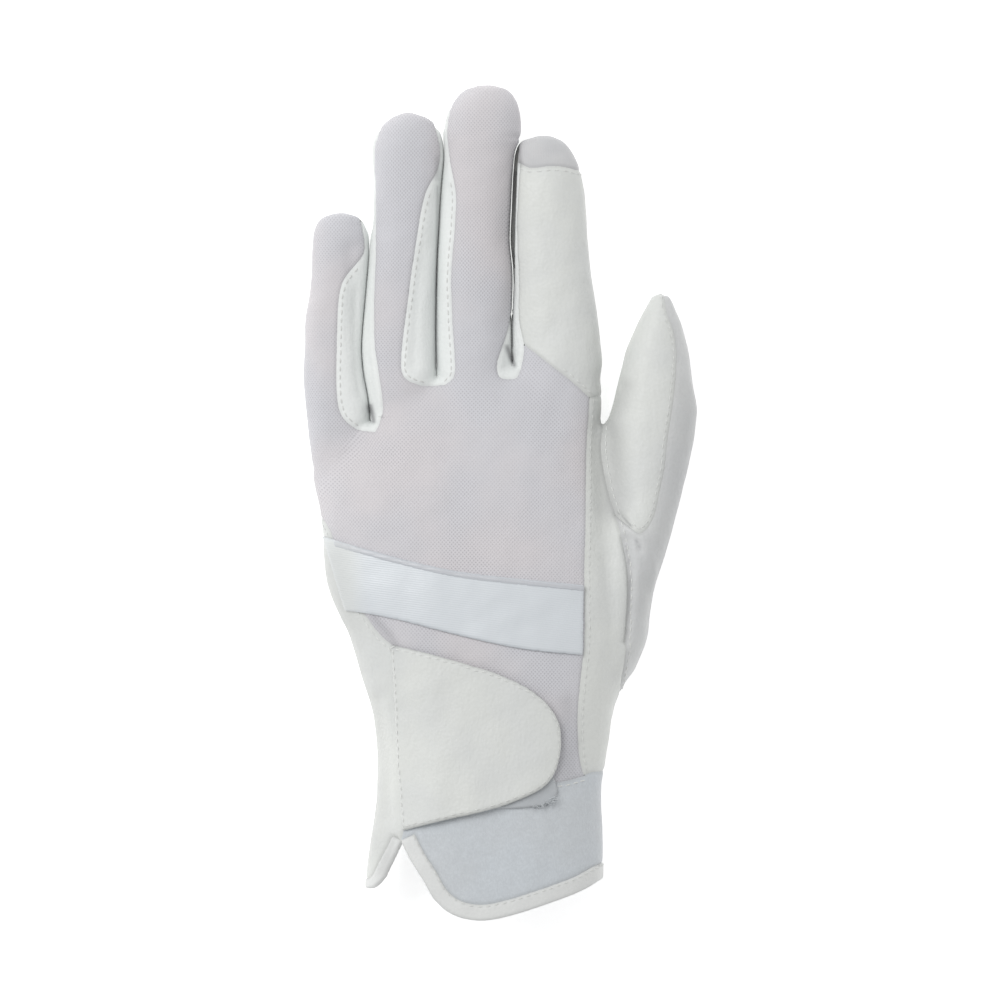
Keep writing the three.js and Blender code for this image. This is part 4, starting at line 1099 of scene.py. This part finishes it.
class Nodes:
    """A short way to write a material's node tree."""

    def __init__(self, name):
        self.material = bpy.data.materials.new(name)
        self.material.use_nodes = True
        self.tree = self.material.node_tree
        self.shader = self.tree.nodes["Principled BSDF"]

    def put(self, value, socket):
        if isinstance(value, bpy.types.NodeSocket):
            self.tree.links.new(value, socket)
        else:
            socket.default_value = value

    def node(self, kind, inputs=(), **settings):
        made = self.tree.nodes.new("ShaderNode" + kind)
        for key, value in settings.items():
            setattr(made, key, value)
        for key, value in dict(inputs).items():
            self.put(value, made.inputs[key])
        return made

    def math(self, operation, a, b):
        return self.node("Math", {0: a, 1: b}, operation=operation).outputs[0]

    def attribute(self, name, output="Fac"):
        return self.node("Attribute", attribute_name=name).outputs[output]

    def mapped(self, vector, scale, turn=0.0):
        inputs = {"Vector": vector, "Rotation": (0, 0, turn), "Scale": scale}
        return self.node("Mapping", inputs).outputs[0]

    def place(self, scale=(1, 1, 1), turn=0.0):
        """The flat cloth's coordinates in steps of a pattern."""
        return self.mapped(self.attribute("place", "Vector"), scale, turn)

    def solid_place(self):
        """Object coordinates in millimetres."""
        return self.mapped(self.node("TexCoord").outputs["Object"], (1000, 1000, 1000))

    def wave(self, vector, scale, distortion, direction):
        inputs = {"Vector": vector, "Scale": scale, "Distortion": distortion}
        return self.node("TexWave", inputs, bands_direction=direction).outputs["Fac"]

    def cells(self, vector, scale, randomness, **settings):
        inputs = {"Vector": vector, "Scale": scale, "Randomness": randomness}
        return self.node("TexVoronoi", inputs, **settings).outputs["Distance"]

    def noise(self, vector, scale, detail=2.0, rough=0.5):
        inputs = {"Vector": vector, "Scale": scale, "Detail": detail, "Roughness": rough}
        return self.node("TexNoise", inputs).outputs["Fac"]

    def ramp(self, value, low, high, first=0.0, last=1.0):
        inputs = {0: value, 1: low, 2: high, 3: first, 4: last}
        return self.node("MapRange", inputs, interpolation_type="SMOOTHSTEP").outputs[0]

    def mix(self, share, a, b):
        made = self.node("Mix", data_type="RGBA")
        self.put(share, made.inputs[0])
        for value, socket in ((a, made.inputs[6]), (b, made.inputs[7])):
            self.put((*value, 1) if isinstance(value, tuple) else value, socket)
        return made.outputs[2]

    def tint(self, colour, pattern, amount, other):
        """A colour that goes some way towards another where a pattern is 1."""
        return self.mix(self.math("MULTIPLY", pattern, amount), colour, other)

    def blotches(self, vector, scale, a, b):
        """Two colours in broad, soft patches."""
        return self.mix(self.ramp(self.noise(vector, scale), 0.35, 0.65), a, b)

    def bumps(self, *layers):
        """A normal from layers of height, strength and distance in metres."""
        normal = None
        for height, strength, distance in layers:
            inputs = {"Height": height, "Strength": strength, "Distance": distance}
            if normal is not None:
                inputs["Normal"] = normal
            normal = self.node("Bump", inputs).outputs[0]
        return normal

    def finish(self, colour, rough, normal, **uniform):
        self.put(colour, self.shader.inputs["Base Color"])
        self.put(rough, self.shader.inputs["Roughness"])
        self.put(normal, self.shader.inputs["Normal"])
        for key, value in uniform.items():
            self.shader.inputs[key.replace("_", " ")].default_value = value
        return self.material

    def painted_seam_and_crease_shade(self, colour, darker, reach=1.1):
        """Painted shade: a little darker in the groove of a seam, and towards a dark grey where the
        shade attribute marks creases, hollows and sides turned from the light.
        """
        groove = self.ramp(self.attribute("seam"), 0.1, reach, 0.34, 0.0)
        return self.mix(self.attribute("shade"), self.mix(groove, colour, darker), PAINTED_SHADE_COLOUR)


# The dark grey of the painted shade in creases and hollows.
PAINTED_SHADE_COLOUR = (0.2, 0.2, 0.21)


def shaded(colour, share):
    return tuple(c * share for c in colour)


def leather(name, pale, deep, grain=1.0, rough=0.5):
    """Soft synthetic leather with a fine pebbled grain, a little worn and creased."""
    n = Nodes(name)
    at = n.solid_place()
    colour = n.mix(n.ramp(n.noise(at, 0.045, 3.0), 0.32, 0.68), pale, deep)
    spots = n.ramp(n.noise(at, 0.9, 4.0, 0.6), 0.35, 0.75)
    colour = n.tint(colour, spots, 0.18, shaded(pale, 0.86))
    pebble = n.ramp(n.cells(at, 1.25 * grain, 1.0, feature="SMOOTH_F1"), 0.1, 0.75)
    colour = n.tint(colour, pebble, 0.1, shaded(pale, 0.8))
    colour = n.painted_seam_and_crease_shade(colour, shaded(pale, 0.74))
    soft = n.noise(n.mapped(at, (0.5, 0.16, 0.5)), 1.0, 3.0, 0.6)
    normal = n.bumps(
        (soft, 0.35, 0.0005), (pebble, 0.34, 0.00012), (n.noise(at, 5.0), 0.16, 0.00006)
    )
    roughness = n.ramp(n.noise(at, 0.3, 3.0), 0.3, 0.7, rough - 0.06, rough + 0.08)
    return n.finish(colour, roughness, normal, Specular_IOR_Level=0.38)


def spacer_mesh():
    """Knitted mesh with rows of small holes set on the diagonal."""
    n = Nodes(KNIT)
    pitch = 1 / 0.75
    at = n.place((pitch, pitch * 0.92, 1), math.radians(45))
    hole = n.ramp(n.cells(at, 1.0, 0.06, voronoi_dimensions="2D"), 0.18, 0.36, 1.0, 0.0)
    solid = n.solid_place()
    colour = n.blotches(solid, 0.03, (0.648, 0.622, 0.638), (0.618, 0.62, 0.652))
    fuzz = n.noise(solid, 3.2, 3.0, 0.6)
    colour = n.mix(n.ramp(fuzz, 0.35, 0.7, 0.0, 0.22), colour, (0.54, 0.53, 0.55))
    # The holes are darkened as painted shade inside them, by more in some broad patches than in
    # others.
    hole_painted_shade = n.ramp(n.noise(solid, 0.06, 3.0), 0.35, 0.65, 0.18, 0.52)
    colour = n.tint(colour, hole, hole_painted_shade, (0.39, 0.375, 0.4))
    colour = n.painted_seam_and_crease_shade(colour, (0.5, 0.5, 0.51))
    soft, ribs = n.noise(solid, 0.35, 3.0), n.wave(n.place(), 0.42, 0.6, "X")
    raised = n.math("SUBTRACT", 1.0, hole)
    normal = n.bumps(
        (soft, 0.25, 0.0004), (ribs, 0.1, 0.00008), (raised, 0.5, 0.00018), (fuzz, 0.2, 0.00008)
    )
    return n.finish(colour, 0.82, normal, Sheen_Weight=0.25, Specular_IOR_Level=0.2)


def stretch_fabric():
    """Fine jersey: close ribs of tiny loops."""
    n = Nodes(STRETCH)
    at = n.place()
    loops = n.math("MULTIPLY", n.wave(at, 0.62, 0.4, "X"), n.wave(at, 0.85, 0.8, "Y"))
    solid = n.solid_place()
    fuzz = n.noise(solid, 2.5, 4.0, 0.65)
    colour = n.blotches(solid, 0.1, (0.6, 0.6, 0.605), (0.55, 0.555, 0.565))
    colour = n.tint(colour, loops, 0.2, (0.44, 0.44, 0.45))
    colour = n.mix(n.ramp(fuzz, 0.4, 0.7, 0.0, 0.2), colour, (0.48, 0.48, 0.49))
    colour = n.painted_seam_and_crease_shade(colour, (0.42, 0.42, 0.43))
    normal = n.bumps((loops, 0.35, 0.00012), (fuzz, 0.25, 0.00008))
    return n.finish(colour, 0.85, normal, Sheen_Weight=0.35, Specular_IOR_Level=0.15)


def elastic(name, blue, pale, rough):
    """Satin elastic webbing: fine cords along its length, crossed by close picks."""
    n = Nodes(name)
    at = n.place(turn=math.radians(7))
    cords, picks = n.wave(at, 0.5, 0.25, "Y"), n.wave(at, 1.1, 0.5, "X")
    solid = n.solid_place()
    colour = n.blotches(solid, 0.05, blue, shaded(blue, 0.98))
    across = n.node("SeparateXYZ", {0: solid}).outputs[0]
    colour = n.mix(n.ramp(across, -44, -37, 1.0, 0.0), colour, pale)
    colour = n.tint(colour, cords, 0.14, (0.52, 0.57, 0.61))
    colour = n.tint(colour, picks, 0.06, (0.5, 0.54, 0.58))
    colour = n.painted_seam_and_crease_shade(colour, (0.54, 0.58, 0.62), 0.9)
    normal = n.bumps(
        (n.noise(solid, 0.16), 0.4, 0.0005), (cords, 0.3, 0.0001), (picks, 0.14, 0.00006)
    )
    roughness = n.ramp(n.noise(solid, 0.4), 0.3, 0.7, rough - 0.04, rough + 0.05)
    return n.finish(colour, roughness, normal, Sheen_Weight=0.15, Specular_IOR_Level=0.5)


def loop_fabric(name, tone):
    """Brushed loop fabric: a short, matted pile."""
    n = Nodes(name)
    solid = n.solid_place()
    pile = n.noise(n.mapped(solid, (1.0, 0.55, 1.0)), 2.1, 5.0, 0.7)
    tufts = n.noise(solid, 0.55, 4.0, 0.6)
    colour = n.blotches(
        solid, 0.04, shaded((0.62, 0.66, 0.695), tone), shaded((0.61, 0.64, 0.665), tone)
    )
    colour = n.mix(n.ramp(pile, 0.35, 0.7, 0.3, 0.0), colour, (0.42, 0.44, 0.46))
    colour = n.mix(n.ramp(tufts, 0.4, 0.7, 0.16, 0.0), colour, (0.46, 0.475, 0.49))
    colour = n.painted_seam_and_crease_shade(colour, (0.47, 0.49, 0.5))
    normal = n.bumps((tufts, 0.35, 0.0004), (pile, 0.55, 0.00022))
    return n.finish(colour, 0.92, normal, Sheen_Weight=0.5, Specular_IOR_Level=0.12)


def thread():
    """Twisted sewing thread."""
    n = Nodes("thread")
    twist = n.wave(n.solid_place(), 0.9, 0.5, "DIAGONAL")
    colour = n.tint((0.7, 0.71, 0.69), twist, 0.35, (0.58, 0.59, 0.58))
    return n.finish(colour, 0.6, n.bumps((twist, 0.4, 0.00008)), Sheen_Weight=0.2)


MATERIALS = {
    LEATHER: leather(LEATHER, (0.7, 0.715, 0.69), (0.665, 0.68, 0.67)),
    # A darker copy of the leather for the thumb's palm side: painted shade on the side that turns
    # from the light.
    "thumb": leather("thumb", (0.635, 0.645, 0.64), (0.605, 0.615, 0.62)),
    "strip": leather("strip", (0.83, 0.85, 0.84), (0.79, 0.815, 0.805)),
    BINDING: leather(BINDING, (0.72, 0.73, 0.72), (0.69, 0.7, 0.695), 1.3, 0.55),
    KNIT: spacer_mesh(),
    STRETCH: stretch_fabric(),
    ELASTIC: elastic(ELASTIC, (0.672, 0.705, 0.735), (0.71, 0.73, 0.72), 0.36),
    "trim": elastic("trim", (0.55, 0.56, 0.59), (0.62, 0.63, 0.64), 0.3),
    # The loop patch's darker copy of the loop fabric: partly the patch's own duller tone, partly
    # painted shade where it lies under the tab.
    "pile": loop_fabric("pile", 0.78),
    LOOP: loop_fabric(LOOP, 1.0),
    "thread": thread(),
}


PANEL_ANGLE, FINE_ANGLE = 50, 60  # edges sharper than this stay sharp, on panels and on thread


def make_object(name, verts, faces, look, sharp=FINE_ANGLE):
    """A piece from points in millimetres, on the glove's one body."""
    mesh = bpy.data.meshes.new(name)
    verts[:, 2] = np.maximum(verts[:, 2], FLOOR_GAP)
    mesh.from_pydata((verts * MM).tolist(), [], faces.tolist())
    mesh.polygons.foreach_set("use_smooth", np.ones(len(mesh.polygons), bool))
    mesh.set_sharp_from_angle(angle=math.radians(sharp))
    mesh.materials.append(MATERIALS[look])
    piece = bpy.data.objects.new(name, mesh)
    bpy.context.scene.collection.objects.link(piece)
    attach(piece, "root")
    return piece


# The two free straps: the size each was cut to, in metres, how it is held, and on what.
CUT = {
    "closure_tab": (
        (0.052, 0.048), "laid", ["soft_back_mesh", "soft_loop_patch", "soft_cuff_flap"]
    ),
    "knuckle_strap": ((0.0195, 0.077), "stretched", ["soft_back_mesh"]),
}
for name, made in shells.items():
    slot = SLOT_OF.get(name, LEATHER)
    look = LOOK_OF.get(name, "strip" if name.startswith("side_strip") else slot)
    piece = make_object("soft_" + name, made["verts"], made["faces"], look, PANEL_ANGLE)
    attributes = piece.data.attributes
    for label in ("seam", "shade"):
        values = attributes.new(label, "FLOAT", "POINT")
        values.data.foreach_set("value", made[label].astype(np.float32))
    place = attributes.new("place", "FLOAT2", "POINT")
    place.data.foreach_set("vector", made["place"].astype(np.float32).ravel())
    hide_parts(name)
    if name in CUT:
        # The ends of the cut outline's edges, in the cloth's own coordinates.
        a, b = made["place"][made["rim"][:, 0]], made["place"][made["rim"][:, 1]]


def rim_lines(made, near_line):
    """The ordered stretches of a shell's edge that follow a plan line, or the whole edge."""
    rim = made["rim"]
    if near_line is not None:
        rim = rim[(line_distance(made["flat"], near_line)[rim] < 0.35).all(1)]
    follow = dict(zip(rim[:, 0].tolist(), rim[:, 1].tolist()))
    starts = [a for a in follow if a not in set(follow.values())]
    lines, seen = [], set()
    for start in starts + list(follow):
        line, here = [], start
        while here in follow and here not in seen:
            seen.add(here)
            line.append(here)
            here = follow[here]
        if len(line) > 5:
            lines.append(made["verts"][line + [here]])
    return lines


def even_steps(line, step):
    """Points at even steps along a line, without its small kinks."""
    for _ in range(4):
        line[1:-1] = line[1:-1] / 2 + (line[:-2] + line[2:]) / 4
    length = np.concatenate([[0], np.cumsum(np.linalg.norm(np.diff(line, axis=0), axis=1))])
    count = int(length[-1] / step)
    at = (np.arange(count) + 0.5) * length[-1] / max(count, 1)
    return np.stack([np.interp(at, length, line[:, i]) for i in range(3)], 1)


STITCH_PITCH, STITCH_LENGTH, STITCH_WIDTH, STITCH_HEIGHT = 2.3, 1.7, 0.378, 0.234
STITCH_REACH = 1.2  # how far from its shell a stitch may be looked for
# Columns: along the stitch as a share of its length, and its thickness there.
STITCH_SHAPE = [(-0.5, 0.3), (-0.36, 0.85), (-0.12, 1.0), (0.12, 1.0), (0.36, 0.85), (0.5, 0.3)]


def stitches(made, near_line, inset):
    """Small capsules of thread on a shell, beside a stretch of its edge."""
    top = made["verts"][: len(made["verts"]) // 2]
    tree = BVHTree.FromPolygons(top.tolist(), made["top"].tolist())
    verts, faces = [], []
    for line in rim_lines(made, near_line):
        at = even_steps(line.copy(), STITCH_PITCH)
        if len(at) < 2:
            continue
        for point, way in zip(at, np.gradient(at, axis=0)):
            way = way / np.linalg.norm(way)
            normal = np.array(tree.find_nearest(Vector(point))[1])
            found = tree.find_nearest(Vector(point + np.cross(normal, way) * inset))
            if found[0] is None or found[3] > STITCH_REACH:
                continue
            middle, normal = np.array(found[0]), np.array(found[1])
            way = way - normal * (way @ normal)
            way /= np.linalg.norm(way)
            side = np.cross(normal, way)
            first = len(verts)
            for place, share in STITCH_SHAPE:
                sunk = 0.13 - 0.9 * place * place
                centre = middle + way * place * STITCH_LENGTH + normal * sunk
                for k in range(6):
                    a = k * math.pi / 3
                    ring = side * math.cos(a) * STITCH_WIDTH + normal * math.sin(a) * STITCH_HEIGHT
                    verts.append(centre + ring * share / 2)
            last = first + (len(STITCH_SHAPE) - 1) * 6
            for ring in range(first, last, 6):
                for k in range(6):
                    a, b = ring + k, ring + (k + 1) % 6
                    faces += [(a, a + 6, b), (b, a + 6, b + 6)]
            for k in range(1, 5):
                faces.append((first, first + k, first + k + 1))
                faces.append((last, last + k + 1, last + k))
    return np.array(verts).reshape(-1, 3), np.array(faces, int).reshape(-1, 3)


# Columns: the stitched piece, the seam beside it, and how far in from the edge the thread runs.
SEWN = [
    ("closure_tab", None, 1.9), ("cuff_binding", beside(flap_edge, BINDING_WIDTH), 0.9),
    ("radial_panel", mesh_right, 1.5), ("index_back", index_seam, 1.4),
    ("index_back", index_cap, 1.4), ("ulnar_panel", ulnar_seam, 1.5),
    ("side_strip_little_ring", little_right[12:], 1.2),
    ("side_strip_ring_middle", ring_right[18:], 1.2),
    ("side_strip_ring_middle", middle_left[24:], 1.2), ("thumb_back", ridge, 1.4),
    ("thumb_back", thumb_seam, 1.4), ("thumb_palm", thumb_seam, 1.4),
    ("knuckle_strap", mesh_right, 1.6), ("cuff_flap", cuff_top, 1.3),
]
for number, (name, line, inset) in enumerate(SEWN):
    verts, faces = stitches(shells[name], line, inset)
    if len(faces):
        make_object(f"thread_{number}_{name}", verts, faces, "thread")

FIBRE_WIDTH, FIBRE_COUNT = 0.11, 300


def fibre(start, way, normal, length, lift):
    """A thin hair that leaves the cloth and bends back to it."""
    side = np.cross(normal, way)
    verts, faces = [], []
    for i in range(4):
        t = i / 3
        centre = start + way * length * t + normal * lift * math.sin(2.4 * t)
        for k in range(3):
            a = 2 * k * math.pi / 3
            out = side * math.cos(a) + normal * math.sin(a)
            verts.append(centre + out * FIBRE_WIDTH * (1.25 - t))
    for i in range(3):
        for k in range(3):
            a, b = 3 * i + k, 3 * i + (k + 1) % 3
            faces += [(a, b, a + 3), (b, b + 3, a + 3)]
    return verts, faces + [(0, 2, 1), (9, 10, 11)]


# Fibres along the patch's free corner, where it shows below the tab.
patch = shells["loop_patch"]
patch_tree = BVHTree.FromPolygons(patch["verts"].tolist(), patch["faces"].tolist())
verts, faces = [], []
for _ in range(FIBRE_COUNT):
    t = random.uniform(0, 1)
    x, y = at_pixel([(533 + 36 * t, 806 - 6 * t - 22 * t**3)])[0]
    over = Vector((x + random.normal(0, 0.9), y + random.normal(0, 0.7), 60))
    root, normal, _, _ = patch_tree.ray_cast(over, Vector((0, 0, -1)))
    if root is None:
        continue
    normal = np.array(normal)
    turn = random.uniform(-2.6, 0.6)
    way = np.array([math.cos(turn), math.sin(turn), 0])
    way -= normal * (way @ normal)
    way /= np.linalg.norm(way)
    length, lift = random.uniform(1.0, 2.8), random.uniform(0.3, 0.9)
    hair, hair_faces = fibre(np.array(root) - 0.1 * normal, way, normal, length, lift)
    faces += [tuple(len(verts) + i for i in f) for f in hair_faces]
    verts += hair
make_object("fibres", np.array(verts), np.array(faces), LOOP)

scene = bpy.context.scene
floor_mesh = bpy.data.meshes.new("floor")
floor_mesh.from_pydata([(-3, -3, 0), (3, -3, 0), (3, 3, 0), (-3, 3, 0)], [], [(0, 1, 2, 3)])
floor = bpy.data.objects.new("floor", floor_mesh)
scene.collection.objects.link(floor)
floor.location.z = -0.0002  # just under the glove
floor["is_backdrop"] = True
paper = bpy.data.materials.new("paper")
paper.use_nodes = True
PAPER = {
    "Base Color": (0.95, 0.95, 0.95, 1), "Roughness": 0.9, "Specular IOR Level": 0.1,
    "Emission Color": (1, 1, 1, 1), "Emission Strength": 0.5,
}
for name, value in PAPER.items():
    paper.node_tree.nodes["Principled BSDF"].inputs[name].default_value = value
floor_mesh.materials.append(paper)

world = bpy.data.worlds.new("studio")
scene.world = world
world.use_nodes = True
sky = world.node_tree.nodes["Background"]
sky.inputs["Color"].default_value = (1, 1, 1, 1)
sky.inputs["Strength"].default_value = 0.6

key = bpy.data.lights.new("key", "AREA")
KEY_POWER, KEY_SIZE, KEY_PLACE = 12.8, 0.9, (-0.7, 0.65, 1.3)
key.energy, key.size = KEY_POWER, KEY_SIZE
light = bpy.data.objects.new("key", key)
scene.collection.objects.link(light)
light.location = KEY_PLACE
light.rotation_euler = (-light.location).to_track_quat("-Z", "Y").to_euler()

# The camera shows as many metres across as a pixel has millimetres, for a picture of 1000 pixels.
LENS, SENSOR = 250, 36
SCALE_HEIGHT = 0.012  # how high over the floor the picture's scale holds
camera = bpy.data.objects.new("camera", bpy.data.cameras.new("camera"))
scene.collection.objects.link(camera)
camera.data.lens, camera.data.sensor_width = LENS, SENSOR
camera.location = (0, 0, PIXEL * LENS / SENSOR + SCALE_HEIGHT)
camera.data.clip_start, camera.data.clip_end = 0.1, 10
scene.camera = camera
scene.view_settings.view_transform = "Standard"

low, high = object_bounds()
